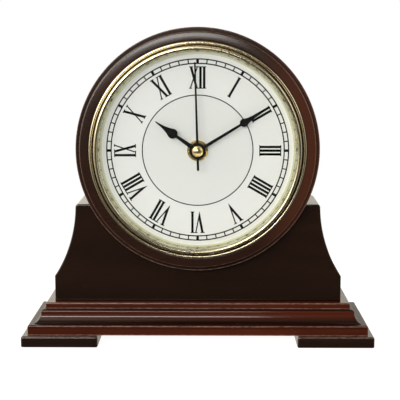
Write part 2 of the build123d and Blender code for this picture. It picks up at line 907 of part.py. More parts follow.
def reverser_wheel():
    phase = mesh_phase(0, minute_pinion_teeth, reverser_teeth, reverser_direction)
    wheel = slab(toothed(reverser_teeth, setting_module, phase), *setting_layer, *reverser_place)
    pinion_phase = mesh_phase(0, hour_teeth, reverser_pinion_teeth, reverser_direction)
    pinion = slab(toothed(reverser_pinion_teeth, hour_module, pinion_phase), *hour_layer, *reverser_place)
    link = disc(reverser_link, hour_layer[1], setting_layer[0], *reverser_place)
    bore = post_radius + running_gap
    return wheel + pinion + link - disc(bore, hour_layer[0] - 1, setting_layer[1] + 1, *reverser_place)


def hour_wheel():
    wheel = slab(toothed(hour_teeth, hour_module, 0), *hour_layer)
    pipe = disc(hour_pipe_radius, hour_hand_front, hour_layer[0])
    return wheel + pipe - disc(hour_pipe_bore, hour_hand_front - 1, hour_layer[1] + 1)


def setting_gear():
    """Gear and shaft of the hand-setting knob."""
    phase = mesh_phase(
        mesh_phase(0, minute_pinion_teeth, reverser_teeth, reverser_direction),
        reverser_teeth,
        knob_teeth,
        knob_direction,
    )
    gear = slab(toothed(knob_teeth, setting_module, phase), *setting_layer, *knob_place)
    shaft = disc(knob_shaft, setting_layer[0] - 1.0, case_back + knob_lift, *knob_place)
    return gear + shaft


def setting_knob():
    """Knurled knob on the back of the movement."""
    front = case_back + knob_lift
    back = front + knob_height
    sketch = Circle(knob_radius)
    for flute in range(knob_flutes):
        sketch = sketch - Pos(*polar(knob_flute_circle, 360 / knob_flutes * flute)) * Circle(knob_flute)
    shape = slab(sketch, front, back, *knob_place)
    mark = slab(Rectangle(*knob_mark), back - 0.4, back + 0.1, *knob_place)
    return shape - mark


# --- motor, electronics and battery ---
core_layer = (stator_layer[0] - 0.8, stator_layer[0])
core_z = (core_height - core_half, core_height + core_half)
coil_axis = (core_layer[0] + core_layer[1]) / 2
coil_left = coil_middle_x - coil_half_length
coil_right = coil_middle_x + coil_half_length


def stator():
    """Flat plate round the rotor, with two legs up to the coil core."""
    left, right = stator_x
    top = core_z[1] + 0.1
    shape = block(stator_x, stator_layer, (stator_base, stator_base + stator_height))
    shape = shape + block((left, left + stator_leg), stator_layer, (stator_base, top))
    shape = shape + block((right - stator_leg, right), stator_layer, (stator_base, top))
    return shape - disc(stator_hole, stator_layer[0] - 1, stator_layer[1] + 1, *rotor_place)


def coil_core():
    return block(stator_x, core_layer, core_z)


def along_x(radius, left, right):
    """A rod along X on the coil's axis."""
    rod = Rot(0, 90, 0) * Cylinder(radius, right - left)
    return Pos((left + right) / 2, coil_axis, core_height) * rod


def coil_bobbin():
    """Tube with a flange at each end, on the flat core."""
    tube = along_x(bobbin_radius, coil_left, coil_right)
    left_flange = along_x(flange_radius, coil_left - flange_thickness, coil_left)
    right_flange = along_x(flange_radius, coil_right, coil_right + flange_thickness)
    hole = block((coil_left - 1, coil_right + 1), core_layer, core_z)
    return tube + left_flange + right_flange - hole


def coil_winding():
    return along_x(winding_radius, coil_left, coil_right) - along_x(bobbin_radius, coil_left, coil_right)


def circuit_board():
    return block(circuit_x, board_layer, circuit_z)


def quartz_crystal():
    """Small can that lies on the board."""
    y = board_layer[0] - crystal_radius
    return Pos(component_x, y, crystal_height) * Cylinder(crystal_radius, crystal_length)


def chip():
    shape = disc(chip_radius, board_layer[0] - chip_rise, board_layer[0], component_x, chip_height)
    return fillet(shape.faces().sort_by(Axis.Y)[0].edges(), chip_edge)


def contact(side):
    """Bay end plate with a strip up to the circuit board's level and a pressed boss."""
    wall = side * (case_half - case_wall)
    face = wall - side * contact_thickness
    boss_radius, boss_depth = contact_boss
    plate_x = sorted((wall, face))
    shoulder = bay_top - 0.8
    plate = block(plate_x, (contact_front, contact_back), (bay_bottom + 1.8, shoulder))
    strip = block(plate_x, (strip_front, contact_back), (shoulder, bay_top + strip_rise))
    rod = Rot(0, 90, 0) * Cylinder(boss_radius, boss_depth)
    boss = Pos(face - side * boss_depth / 2, battery_middle, battery_height) * rod
    return plate + strip + boss


def battery():
    """AA cell along X: a can, a positive nub and an insulated shoulder."""
    half = battery_half_length
    nub_radius, nub_length = battery_nub
    foot_radius, foot_length = battery_foot
    can = Rot(0, 90, 0) * Cylinder(battery_radius, 2 * half)
    can = fillet(can.edges(), battery_edge)
    nub = Pos(half + nub_length / 2, 0, 0) * (Rot(0, 90, 0) * Cylinder(nub_radius, nub_length))
    foot_cap = Pos(-half - foot_length / 2, 0, 0) * (Rot(0, 90, 0) * Cylinder(foot_radius, foot_length))
    return Pos(0, battery_middle, battery_height) * (can + nub + foot_cap)


def build_all():
    return {
        "left_foot": foot(-1),
        "right_foot": foot(1),
        "felt_pads": foot_pads(),
        "foot_screws": foot_screws(),
        "base_board": base_board(),
        "moulded_board": moulded_board(),
        "plinth_top": plinth_top(),
        "body_screws": body_screws(),
        "front_panel": front_panel(),
        "left_cheek": cheek(-1),
        "right_cheek": cheek(1),
        "back_panel": back_panel(),
        "drum_shell": drum_shell(),
        "drum_front_ring": drum_front_ring(),
        "back_board": back_board(),
        "back_board_screws": back_board_screws(),
        "bezel": bezel(),
        "glass": glass(),
        "glass_gasket": glass_gasket(),
        "sight_ring": sight_ring(),
        "dial": dial(),
        "insert_cup": insert_cup(),
        "cup_screws": cup_screws(),
        "rubber_washer": rubber_washer(),
        "brass_washer": brass_washer(),
        "hand_nut": hand_nut(),
        "hour_hand": hour_hand(),
        "minute_hand": minute_hand(),
        "second_hand": second_hand(),
        "second_hand_cap": second_cap(),
        "movement_front_case": movement_front_case(),
        "threaded_bushing": threaded_bushing(),
        "movement_rear_case": movement_rear_case(),
        "train_plate": train_plate(),
        "rotor_magnet": rotor_magnet(),
        "rotor_pinion": rotor_pinion(),
        "intermediate_wheel": intermediate_wheel(),
        "second_wheel": second_wheel(),
        "third_wheel": third_wheel(),
        "minute_drive_wheel": minute_drive_wheel(),
        "minute_pipe": minute_pipe(),
        "reverser_wheel": reverser_wheel(),
        "hour_wheel": hour_wheel(),
        "setting_gear": setting_gear(),
        "setting_knob": setting_knob(),
        "stator": stator(),
        "coil_core": coil_core(),
        "coil_bobbin": coil_bobbin(),
        "coil_winding": coil_winding(),
        "circuit_board": circuit_board(),
        "quartz_crystal": quartz_crystal(),
        "chip": chip(),
        "positive_contact": contact(1),
        "negative_contact": contact(-1),
        "battery": battery(),
    }


os.makedirs("parts", exist_ok=True)
for name, shape in build_all().items():
    export_step(shape, f"parts/{name}.step")
    print(name, len(shape.solids()), round(shape.volume, 1))
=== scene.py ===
"""A wooden mantel clock in dark lacquered mahogany, with a brass bezel and a white Roman dial.

Shapes are written in millimetres in the frame's axes: the dial faces -Y and +Z is up.
"""

import math

import bmesh
import bpy
from mathutils import Matrix, Vector


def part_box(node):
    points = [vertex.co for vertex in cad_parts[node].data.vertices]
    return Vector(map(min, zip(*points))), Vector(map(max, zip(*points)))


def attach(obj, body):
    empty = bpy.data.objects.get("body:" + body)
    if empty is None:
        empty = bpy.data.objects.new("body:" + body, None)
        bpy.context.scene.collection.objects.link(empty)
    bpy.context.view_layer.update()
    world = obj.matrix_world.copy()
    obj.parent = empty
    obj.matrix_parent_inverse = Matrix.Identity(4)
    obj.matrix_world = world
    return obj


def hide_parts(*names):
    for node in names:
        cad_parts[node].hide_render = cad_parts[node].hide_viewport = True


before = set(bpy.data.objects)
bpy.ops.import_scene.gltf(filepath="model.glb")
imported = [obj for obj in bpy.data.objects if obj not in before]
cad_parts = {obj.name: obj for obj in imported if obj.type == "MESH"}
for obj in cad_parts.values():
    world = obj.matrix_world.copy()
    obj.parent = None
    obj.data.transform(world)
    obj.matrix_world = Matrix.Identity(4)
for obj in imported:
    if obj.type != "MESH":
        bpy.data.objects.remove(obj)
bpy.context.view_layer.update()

MM = 0.001
CASE = "case"
CIRCLE_RADIUS = 39.5


def corners(node):
    """A CAD node's lowest and highest corners, in millimetres."""
    low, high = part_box(node)
    return low / MM, high / MM


def half_width(node):
    low, high = corners(node)
    return (high.x - low.x) / 2


ring_low, ring_high = corners("drum_front_ring")
dial_height = (ring_low.z + ring_high.z) / 2
dial_centre = Vector((0, 0, dial_height))
dial_face = corners("dial")[0].y


# --- camera ---
def make_camera():
    """0.8 m in front of the clock, level with the drum's upper part, looking slightly down."""
    eye = Vector((8.9, -794.5, 216.45)) * MM
    look_down = math.radians(8.213)
    look_left = math.radians(0.535)
    data = bpy.data.cameras.new("camera")
    data.lens = 97.4
    camera = bpy.data.objects.new("camera", data)
    camera.location = eye
    camera.rotation_euler = (math.radians(90) - look_down, 0, look_left)
    bpy.context.scene.collection.objects.link(camera)
    bpy.context.scene.camera = camera


# --- studio ---
def area_light(name, place, target, size, power, colour=(1, 1, 1), mirrored=True):
    """A rectangular lamp, in metres and watts, that the eye never sees and gloss may not see either."""
    data = bpy.data.lights.new(name, "AREA")
    data.shape = "RECTANGLE"
    data.size, data.size_y = size
    data.energy = power
    data.color = colour
    light = bpy.data.objects.new(name, data)
    light.location = place
    light.rotation_euler = (Vector(target) - Vector(place)).to_track_quat("-Z", "Y").to_euler()
    light.visible_camera = False
    light.visible_glossy = mirrored
    bpy.context.scene.collection.objects.link(light)


def make_lights():
    """A soft key that gloss can't see, a strip beside it that gloss mirrors, and a fill from the right."""
    dial = dial_centre * MM
    area_light("key", (-0.38, -1.05, 0.44), dial, (1.0, 0.16), 1.6, (1.0, 0.985, 0.96), mirrored=False)
    area_light("strip", (-0.40, -1.05, 0.49), dial, (1.1, 0.13), 5.8, (1.0, 0.97, 0.92))
    area_light("fill", (1.2, -0.55, 0.75), dial, (0.4, 0.7), 1.6)


def make_world():
    """White surroundings for the eye and even soft light.

    Gloss sees a room instead: a bright wall behind the clock, pale sides, a dimmer ceiling, darkness
    straight in front and a bright window at the upper left.
    """
    world = bpy.data.worlds.new("studio")
    world.use_nodes = True
    bpy.context.scene.world = world
    tree = world.node_tree
    tree.nodes.clear()
    output = tree.nodes.new("ShaderNodeOutputWorld")
    background = tree.nodes.new("ShaderNodeBackground")
    direction = tree.nodes.new("ShaderNodeTexCoord").outputs["Generated"]
    rays = tree.nodes.new("ShaderNodeLightPath")

    def along(axis, low, high, to_low, to_high):
        """How far the direction goes along an axis, carried to another pair of values."""
        dot = tree.nodes.new("ShaderNodeVectorMath")
        dot.operation = "DOT_PRODUCT"
        dot.inputs[1].default_value = Vector(axis).normalized()
        stretch = tree.nodes.new("ShaderNodeMapRange")
        stretch.interpolation_type = "SMOOTHSTEP"
        for name, number in zip(("From Min", "From Max", "To Min", "To Max"), (low, high, to_low, to_high)):
            stretch.inputs[name].default_value = number
        tree.links.new(direction, dot.inputs[0])
        tree.links.new(dot.outputs["Value"], stretch.inputs["Value"])
        return stretch.outputs["Result"]

    def calc(operation, a, b):
        node = tree.nodes.new("ShaderNodeMath")
        node.operation = operation
        tree.links.new(a, node.inputs[0])
        tree.links.new(b, node.inputs[1])
        return node.outputs[0]

    def tinted(share, low, high):
        node = tree.nodes.new("ShaderNodeMix")
        node.data_type = "RGBA"
        node.inputs[6].default_value = (*low, 1)
        node.inputs[7].default_value = (*high, 1)
        tree.links.new(share, node.inputs[0])
        return node

    wall = along((0, 1, 0), -0.15, 0.30, 0.0, 1.0)
    sides = along((0, -1, 0), 0.45, 0.84, 0.62, 0.02)
    above_floor = along((0, 0, 1), -0.55, 0.10, 0.20, 1.0)
    below_ceiling = along((0, 0, 1), 0.40, 0.85, 1.0, 0.5)
    leftward = along((-1, 0, 0), -0.35, 0.30, 0.62, 1.05)
    window = along((-0.66, -0.42, 0.62), 0.72, 0.97, 0.0, 2.6)
    shade = calc("MULTIPLY", below_ceiling, calc("MULTIPLY", above_floor, leftward))
    room = calc("ADD", calc("MULTIPLY", calc("MAXIMUM", wall, sides), shade), window)
    gloss = tinted(room, (0.0, 0.0, 0.0), (1.10, 1.04, 0.89))
    gloss.clamp_factor = False
    soft = tinted(rays.outputs["Is Diffuse Ray"], (0.0, 0.0, 0.0), (0.48, 0.48, 0.475))
    tree.links.new(gloss.outputs[2], soft.inputs[6])
    seen = tinted(rays.outputs["Is Camera Ray"], (0.0, 0.0, 0.0), (1.0, 1.0, 1.0))
    tree.links.new(soft.outputs[2], seen.inputs[6])
    tree.links.new(seen.outputs[2], background.inputs["Color"])
    tree.links.new(background.outputs[0], output.inputs["Surface"])


# --- materials ---
class Finish:
    """Builds one procedural material round a Principled shader, in the object's own coordinates."""

    def __init__(self, name):
        self.material = bpy.data.materials.new(name)
        self.material.use_nodes = True
        self.tree = self.material.node_tree
        self.shader = self.tree.nodes["Principled BSDF"]
        self.coordinates = self.tree.nodes.new("ShaderNodeTexCoord").outputs["Object"]

    def join(self, source, socket):
        """Links a source to a socket, or stores it there if it is a plain value."""
        if isinstance(source, bpy.types.NodeSocket):
            self.tree.links.new(source, socket)
        elif source is not None:
            is_colour = hasattr(source, "__len__") and len(source) == 3 and socket.type == "RGBA"
            socket.default_value = (*source, 1) if is_colour else source

    def stretched(self, scale):
        node = self.tree.nodes.new("ShaderNodeMapping")
        node.inputs["Scale"].default_value = scale
        self.join(self.coordinates, node.inputs["Vector"])
        return node.outputs[0]

    def noise(self, where, scale=1.0, detail=2.0, rough=0.5, twist=0.0):
        node = self.tree.nodes.new("ShaderNodeTexNoise")
        self.join(where, node.inputs["Vector"])
        node.inputs["Scale"].default_value = scale
        node.inputs["Detail"].default_value = detail
        node.inputs["Roughness"].default_value = rough
        node.inputs["Distortion"].default_value = twist
        return node.outputs[0]

    def cells(self, where, scale):
        """Distance to the nearest of scattered points."""
        node = self.tree.nodes.new("ShaderNodeTexVoronoi")
        self.join(where, node.inputs["Vector"])
        node.inputs["Scale"].default_value = scale
        return node.outputs["Distance"]

    def calc(self, operation, a, b=None, clamp=False):
        node = self.tree.nodes.new("ShaderNodeMath")
        node.operation = operation
        node.use_clamp = clamp
        self.join(a, node.inputs[0])
        self.join(b, node.inputs[1])
        return node.outputs[0]

    def span(self, value, low, high, to_low=0.0, to_high=1.0, smooth=False):
        """The value's stretch from low to high, carried to another pair of values."""
        node = self.tree.nodes.new("ShaderNodeMapRange")
        node.interpolation_type = "SMOOTHSTEP" if smooth else "LINEAR"
        self.join(value, node.inputs["Value"])
        for name, number in zip(("From Min", "From Max", "To Min", "To Max"), (low, high, to_low, to_high)):
            node.inputs[name].default_value = number
        return node.outputs["Result"]

    def ramp(self, value, *stops):
        """A colour ramp through (place, colour) stops."""
        node = self.tree.nodes.new("ShaderNodeValToRGB")
        elements = node.color_ramp.elements
        while len(elements) < len(stops):
            elements.new(0.5)
        for element, (place, colour) in zip(elements, stops):
            element.position = place
            element.color = (*colour, 1)
        self.join(value, node.inputs[0])
        return node.outputs["Color"]

    def mix(self, share, a, b):
        node = self.tree.nodes.new("ShaderNodeMix")
        node.data_type = "RGBA"
        self.join(share, node.inputs[0])
        self.join(a, node.inputs[6])
        self.join(b, node.inputs[7])
        return node.outputs[2]

    def axes(self):
        node = self.tree.nodes.new("ShaderNodeSeparateXYZ")
        self.join(self.coordinates, node.inputs[0])
        return node.outputs

    def together(self, x, y, z):
        node = self.tree.nodes.new("ShaderNodeCombineXYZ")
        for value, socket in zip((x, y, z), node.inputs):
            self.join(value, socket)
        return node.outputs[0]

    def radius(self):
        """Distance from the object's own Y axis."""
        x, _, z = self.axes()
        squares = self.calc("ADD", self.calc("MULTIPLY", x, x), self.calc("MULTIPLY", z, z))
        return self.calc("SQRT", squares)

    def round_lines(self, per_metre):
        """Fine lines that run round the object's own Y axis, as a turning tool leaves them."""
        x, y, z = self.axes()
        angle = self.calc("ARCTAN2", x, z)
        across = self.calc("MULTIPLY", self.radius(), per_metre)
        along = self.calc("MULTIPLY", y, per_metre)
        return self.noise(self.together(across, along, angle), 1.0, 3.0, 0.6)

    def band(self, value, place, half):
        """A line at a place in millimetres, fading out on both sides."""
        away = self.calc("ABSOLUTE", self.calc("SUBTRACT", value, place * MM))
        return self.span(away, 0.0, half * MM, 1.0, 0.0)

    def bump(self, height, strength, distance, coat=False):
        node = self.tree.nodes.new("ShaderNodeBump")
        node.inputs["Strength"].default_value = strength
        node.inputs["Distance"].default_value = distance
        self.join(height, node.inputs["Height"])
        self.join(node.outputs[0], self.shader.inputs["Coat Normal" if coat else "Normal"])

    def colour(self, source):
        self.join(source, self.shader.inputs["Base Color"])

    def roughness(self, source):
        self.join(source, self.shader.inputs["Roughness"])

    def set(self, **values):
        """Stores plain values on the shader's own sockets: coat_weight is Coat Weight."""
        for key, value in values.items():
            self.join(value, self.shader.inputs[SOCKETS.get(key, key.replace("_", " ").title())])


SOCKETS = {"ior": "IOR", "specular_ior_level": "Specular IOR Level"}


DUST = (0.32, 0.27, 0.20)
# Colour of the lighter edge lines: partly bare wood, partly painted highlight.
BARE_WOOD_AND_HIGHLIGHT = (0.34, 0.20, 0.155)
# Dark tone for lines in brass; in the deep groove it is painted shade.
BRASS_DARK_TONE = (0.12, 0.085, 0.035)


def times(tone, *factors):
    """A colour multiplied by one factor, or by one for each channel."""
    return tuple(c * f for c, f in zip(tone, factors if len(factors) == 3 else factors * 3))


def wood(name, deep, middle, warm, coat_rough=0.10, level_lines=(), round_lines=(), shaded_hollows=(), redder=False):
    """Stained mahogany under lacquer, grain along X: fibres, pores, lighter edges that are partly wear and
    partly painted highlight, and a few specks of dust.

    Lines are lighter edges, partly wear and partly painted highlight and painted reflection, as (place, half
    width, strength): levels in height, rounds in radius.
    Shaded hollows are heights darkened as painted shade, where the lacquer is also dull, in the same form.
    """
    finish = Finish(name)
    x, _, z = finish.axes()
    figure = finish.noise(finish.stretched((5, 40, 40)), 1.0, 2.0, 0.5, 0.3)
    fibre = finish.noise(finish.stretched((26, 1100, 1100)), 1.0, 4.0, 0.6, 0.3)
    pores = finish.noise(finish.stretched((160, 2600, 2600)), 1.0, 2.0, 0.5)
    blend = finish.calc("ADD", finish.calc("MULTIPLY", figure, 0.65), finish.calc("MULTIPLY", fibre, 0.35))
    stain = finish.ramp(blend, (0.32, deep), (0.50, middle), (0.70, warm))
    # The ring is made redder and lighter towards its right side.
    if redder:
        side = finish.span(finish.calc("DIVIDE", x, finish.radius()), 0.45, 0.95, 0.0, 1.0, True)
        stain = finish.mix(side, stain, times(warm, 2.0, 1.7, 1.5))
    pitted = finish.mix(finish.span(pores, 0.60, 0.74, 0.0, 0.38), stain, times(deep, 0.4))
    shine = 1.0
    # Painted shade: each hollow is darkened and its coat dulled.
    for place, half, strength in shaded_hollows:
        darkened = finish.calc("MULTIPLY", finish.band(z, place, half), strength, clamp=True)
        pitted = finish.mix(darkened, pitted, times(deep, 0.25))
        shine = finish.calc("MULTIPLY", shine, finish.span(darkened, 0.0, 1.0, 1.0, 0.35))
    chips = finish.noise(finish.stretched((240, 240, 900)), 1.0, 4.0, 0.65)
    wear = 0.0
    # Lighter edge lines: partly wear, partly painted highlight and painted reflection.
    for value, lines in ((z, level_lines), (finish.radius(), round_lines)):
        for place, half, strength in lines:
            line = finish.calc("MULTIPLY", finish.band(value, place, half), strength)
            broken = finish.calc("MULTIPLY", line, finish.span(chips, 0.38, 0.60, 0.15, 1.0))
            wear = finish.calc("MAXIMUM", wear, broken)
    worn_and_lit = finish.mix(wear, pitted, BARE_WOOD_AND_HIGHLIGHT)
    dust = finish.span(finish.cells(finish.stretched((260, 260, 260)), 1.0), 0.05, 0.10, 1.0, 0.0)
    sparse = finish.span(finish.noise(finish.stretched((38, 38, 38)), 1.0, 2.0), 0.60, 0.68)
    specks = finish.calc("MULTIPLY", finish.calc("MULTIPLY", dust, sparse), 0.35)
    finish.colour(finish.mix(specks, worn_and_lit, DUST))
    finish.roughness(finish.span(fibre, 0.3, 0.7, 0.32, 0.44))
    finish.bump(fibre, 0.08, 0.0002)
    ripple = finish.noise(finish.stretched((140, 140, 140)), 1.0, 2.0, 0.5)
    finish.bump(ripple, 0.05, 0.0004, coat=True)
    finish.set(coat_weight=shine, coat_roughness=coat_rough, specular_ior_level=0.06)
    return finish.material


def brass(name, tone=(0.89, 0.80, 0.58), rough=0.25, turned_lines=True, grooves=()):
    """Lacquered brass, turned or drawn, with faint tarnish.

    Grooves are darkened with a dark tone, as (radius, half width, strength); in a deep groove this is painted
    shade.
    """
    finish = Finish(name)
    cloud = finish.noise(finish.stretched((70, 70, 70)), 1.0, 4.0, 0.6)
    dull = times(tone, 0.90, 0.86, 0.78)
    skin = finish.ramp(cloud, (0.30, dull), (0.55, tone), (0.8, times(tone, 1.05)))
    # The grooves are darkened; in the deep groove this is painted shade.
    for place, half, strength in grooves:
        darkened = finish.calc("MULTIPLY", finish.band(finish.radius(), place, half), strength, clamp=True)
        skin = finish.mix(darkened, skin, BRASS_DARK_TONE)
    finish.colour(skin)
    if turned_lines:
        lines = finish.round_lines(2600)
    else:
        lines = finish.noise(finish.stretched((400, 3000, 3000)), 1.0, 3.0, 0.6)
    spread = finish.calc("MULTIPLY", lines, 0.08)
    finish.roughness(finish.calc("ADD", spread, finish.span(cloud, 0.3, 0.7, rough, rough - 0.07)))
    finish.bump(lines, 0.015, 0.0001)
    finish.set(metallic=1.0, coat_weight=0.15, coat_roughness=0.12)
    return finish.material


def metal(name, tone, rough, grain=(1800, 1800, 1800)):
    """Plated or bare steel with a fine grain and a few darker stains."""
    finish = Finish(name)
    grains = finish.noise(finish.stretched(grain), 1.0, 3.0, 0.6)
    stains = finish.noise(finish.stretched((160, 160, 160)), 1.0, 4.0, 0.6)
    finish.colour(finish.ramp(stains, (0.35, times(tone, 0.62)), (0.6, tone)))
    finish.roughness(finish.span(grains, 0.3, 0.7, rough - 0.06, rough + 0.08))
    finish.bump(grains, 0.1, 0.0001)
    finish.set(metallic=1.0)
    return finish.material


def plastic(name, tone, rough, texture=1500, strength=0.15, **values):
    """Moulded plastic with a spark-eroded texture and pale rub marks."""
    finish = Finish(name)
    pits = finish.noise(finish.stretched((texture,) * 3), 1.0, 3.0, 0.6)
    cloud = finish.noise(finish.stretched((60, 60, 60)), 1.0, 3.0, 0.5)
    shade = finish.ramp(cloud, (0.3, times(tone, 0.85)), (0.7, tone))
    pale = tuple(min(1.0, 1.5 * c + 0.01) for c in tone)
    rubs = finish.noise(finish.stretched((60, 900, 240)), 1.0, 3.0, 0.6)
    finish.colour(finish.mix(finish.span(rubs, 0.60, 0.75, 0.0, 0.4), shade, pale))
    finish.roughness(finish.span(pits, 0.3, 0.7, rough - 0.08, rough + 0.1))
    finish.bump(pits, strength, 0.0001)
    finish.set(**values)
    return finish.material


def board_lacquer(name):
    """Fibreboard sprayed dark brown: a fine mottle and a satin skin."""
    finish = Finish(name)
    mottle = finish.noise(finish.stretched((420, 420, 420)), 1.0, 5.0, 0.65)
    patches = finish.noise(finish.stretched((24, 24, 24)), 1.0, 3.0, 0.5)
    blend = finish.calc("ADD", finish.calc("MULTIPLY", mottle, 0.6), finish.calc("MULTIPLY", patches, 0.4))
    tone = finish.ramp(blend, (0.35, (0.020, 0.011, 0.008)), (0.65, (0.040, 0.022, 0.014)))
    scuffs = finish.noise(finish.stretched((50, 300, 300)), 1.0, 3.0, 0.6)
    finish.colour(finish.mix(finish.span(scuffs, 0.64, 0.76, 0.0, 0.35), tone, (0.10, 0.06, 0.04)))
    finish.roughness(finish.span(mottle, 0.3, 0.7, 0.38, 0.52))
    finish.bump(mottle, 0.22, 0.0002)
    finish.set(coat_weight=0.25, coat_roughness=0.25)
    return finish.material


def felt(name):
    """Dark green felt: matted fibres that catch light at a grazing angle."""
    finish = Finish(name)
    mat = finish.noise(finish.stretched((900, 900, 900)), 1.0, 6.0, 0.7, 1.5)
    finish.colour(finish.ramp(mat, (0.3, (0.010, 0.020, 0.013)), (0.7, (0.035, 0.060, 0.040))))
    finish.roughness(finish.span(mat, 0.2, 0.8, 0.85, 1.0))
    finish.bump(mat, 0.6, 0.0004)
    finish.set(sheen_weight=0.6, sheen_roughness=0.4)
    return finish.material


def dial_enamel(name):
    """Off-white enamel. Inside the numeral circle it is a shade greyer and smoother."""
    finish = Finish(name)
    fade_from, fade_to = (CIRCLE_RADIUS - 0.5) * MM, (CIRCLE_RADIUS + 0.1) * MM
    inside = finish.span(finish.radius(), fade_from, fade_to, 1.0, 0.0)
    grain = finish.noise(finish.stretched((700, 700, 700)), 1.0, 3.0, 0.5)
    cloud = finish.noise(finish.stretched((22, 22, 22)), 1.0, 2.0, 0.5)
    outer = finish.ramp(cloud, (0.3, (0.775, 0.775, 0.765)), (0.7, (0.795, 0.795, 0.785)))
    inner = finish.ramp(cloud, (0.3, (0.735, 0.742, 0.728)), (0.7, (0.755, 0.762, 0.748)))
    finish.colour(finish.mix(inside, outer, inner))
    lapped = finish.span(grain, 0.3, 0.7, 0.34, 0.44)
    finish.roughness(finish.calc("SUBTRACT", lapped, finish.calc("MULTIPLY", inside, 0.06)))
    finish.bump(grain, 0.04, 0.0001)
    return finish.material


def clear_glass(name):
    """Clear glass that lets lamps and soft light straight through."""
    finish = Finish(name)
    haze = finish.noise(finish.stretched((30, 30, 30)), 1.0, 2.0)
    finish.roughness(finish.span(haze, 0.4, 0.8, 0.0, 0.02))
    finish.colour((0.985, 0.992, 0.988))
    finish.set(transmission_weight=1.0, ior=1.45)
    tree = finish.tree
    rays = tree.nodes.new("ShaderNodeLightPath")
    passing = finish.calc("MAXIMUM", rays.outputs["Is Shadow Ray"], rays.outputs["Is Diffuse Ray"])
    clear = tree.nodes.new("ShaderNodeBsdfTransparent")
    clear.inputs[0].default_value = (0.95, 0.96, 0.955, 1)
    mix = tree.nodes.new("ShaderNodeMixShader")
    finish.join(passing, mix.inputs[0])
    finish.join(finish.shader.outputs[0], mix.inputs[1])
    finish.join(clear.outputs[0], mix.inputs[2])
    finish.join(mix.outputs[0], tree.nodes["Material Output"].inputs["Surface"])
    return finish.material


def gloss_black(name, rough=0.18, shine=0.35):
    """Stoved black paint or ink with a faint orange peel and thin patches."""
    finish = Finish(name)
    peel = finish.noise(finish.stretched((900, 900, 900)), 1.0, 2.0)
    wear = finish.noise(finish.stretched((350, 350, 350)), 1.0, 3.0)
    tone = finish.ramp(wear, (0.3, (0.004, 0.004, 0.004)), (0.7, (0.010, 0.010, 0.011)))
    finish.colour(tone)
    finish.roughness(finish.span(peel, 0.3, 0.7, rough - 0.04, rough + 0.06))
    finish.bump(peel, 0.06, 0.0001)
    finish.set(specular_ior_level=shine)
    return finish.material


def copper_wire(name):
    """Enamelled wire wound in close turns along X."""
    finish = Finish(name)
    wire = 0.22 * MM
    turns = finish.calc("SINE", finish.calc("MULTIPLY", finish.axes()["X"], 2 * math.pi / wire))
    cloud = finish.noise(finish.stretched((300, 300, 300)), 1.0, 3.0)
    finish.colour(finish.ramp(cloud, (0.3, (0.45, 0.16, 0.07)), (0.7, (0.72, 0.32, 0.14))))
    finish.roughness(finish.span(turns, -1, 1, 0.36, 0.24))
    finish.bump(turns, 0.4, 0.00008)
    finish.set(metallic=0.9, coat_weight=0.6, coat_roughness=0.15)
    return finish.material


def board_laminate(name):
    """Phenolic board: warm brown weave under a thin resin skin."""
    finish = Finish(name)
    weave = finish.noise(finish.stretched((1400, 1400, 260)), 1.0, 3.0)
    cross = finish.noise(finish.stretched((260, 1400, 1400)), 1.0, 3.0)
    cloth = finish.calc("MAXIMUM", weave, cross)
    finish.colour(finish.ramp(cloth, (0.4, (0.20, 0.10, 0.035)), (0.75, (0.36, 0.20, 0.075))))
    finish.roughness(finish.span(cloth, 0.4, 0.8, 0.42, 0.30))
    finish.bump(cloth, 0.2, 0.0001)
    return finish.material


def battery_wrap(name):
    """Shrink wrap in two colours, with bare steel at both ends of the cell."""
    low, high = corners("battery")
    finish = Finish(name)
    x = finish.axes()["X"]
    gold_length, nub, foot_edge = 13.0, 1.9, 0.95
    crinkle = finish.noise(finish.stretched((120, 500, 500)), 1.0, 3.0)
    dark = finish.ramp(crinkle, (0.3, (0.010, 0.010, 0.012)), (0.7, (0.022, 0.022, 0.026)))
    gold = finish.ramp(crinkle, (0.3, (0.55, 0.30, 0.10)), (0.7, (0.70, 0.40, 0.15)))
    steel = finish.ramp(crinkle, (0.3, (0.50, 0.50, 0.50)), (0.7, (0.66, 0.66, 0.65)))
    in_gold = finish.calc("GREATER_THAN", x, (high.x - gold_length) * MM)
    at_nub = finish.calc("GREATER_THAN", x, (high.x - nub) * MM)
    at_foot = finish.calc("LESS_THAN", x, (low.x + foot_edge) * MM)
    bare = finish.calc("MAXIMUM", at_nub, at_foot)
    finish.colour(finish.mix(bare, finish.mix(in_gold, dark, gold), steel))
    finish.roughness(finish.span(crinkle, 0.3, 0.7, 0.22, 0.36))
    finish.bump(crinkle, 0.12, 0.0002)
    finish.set(metallic=finish.calc("MAXIMUM", bare, finish.calc("MULTIPLY", in_gold, 0.8)))
    return finish.material


def plain_name(material):
    """A material's name without the number that Blender adds to a repeated name."""
    return material.name.split(".")[0]


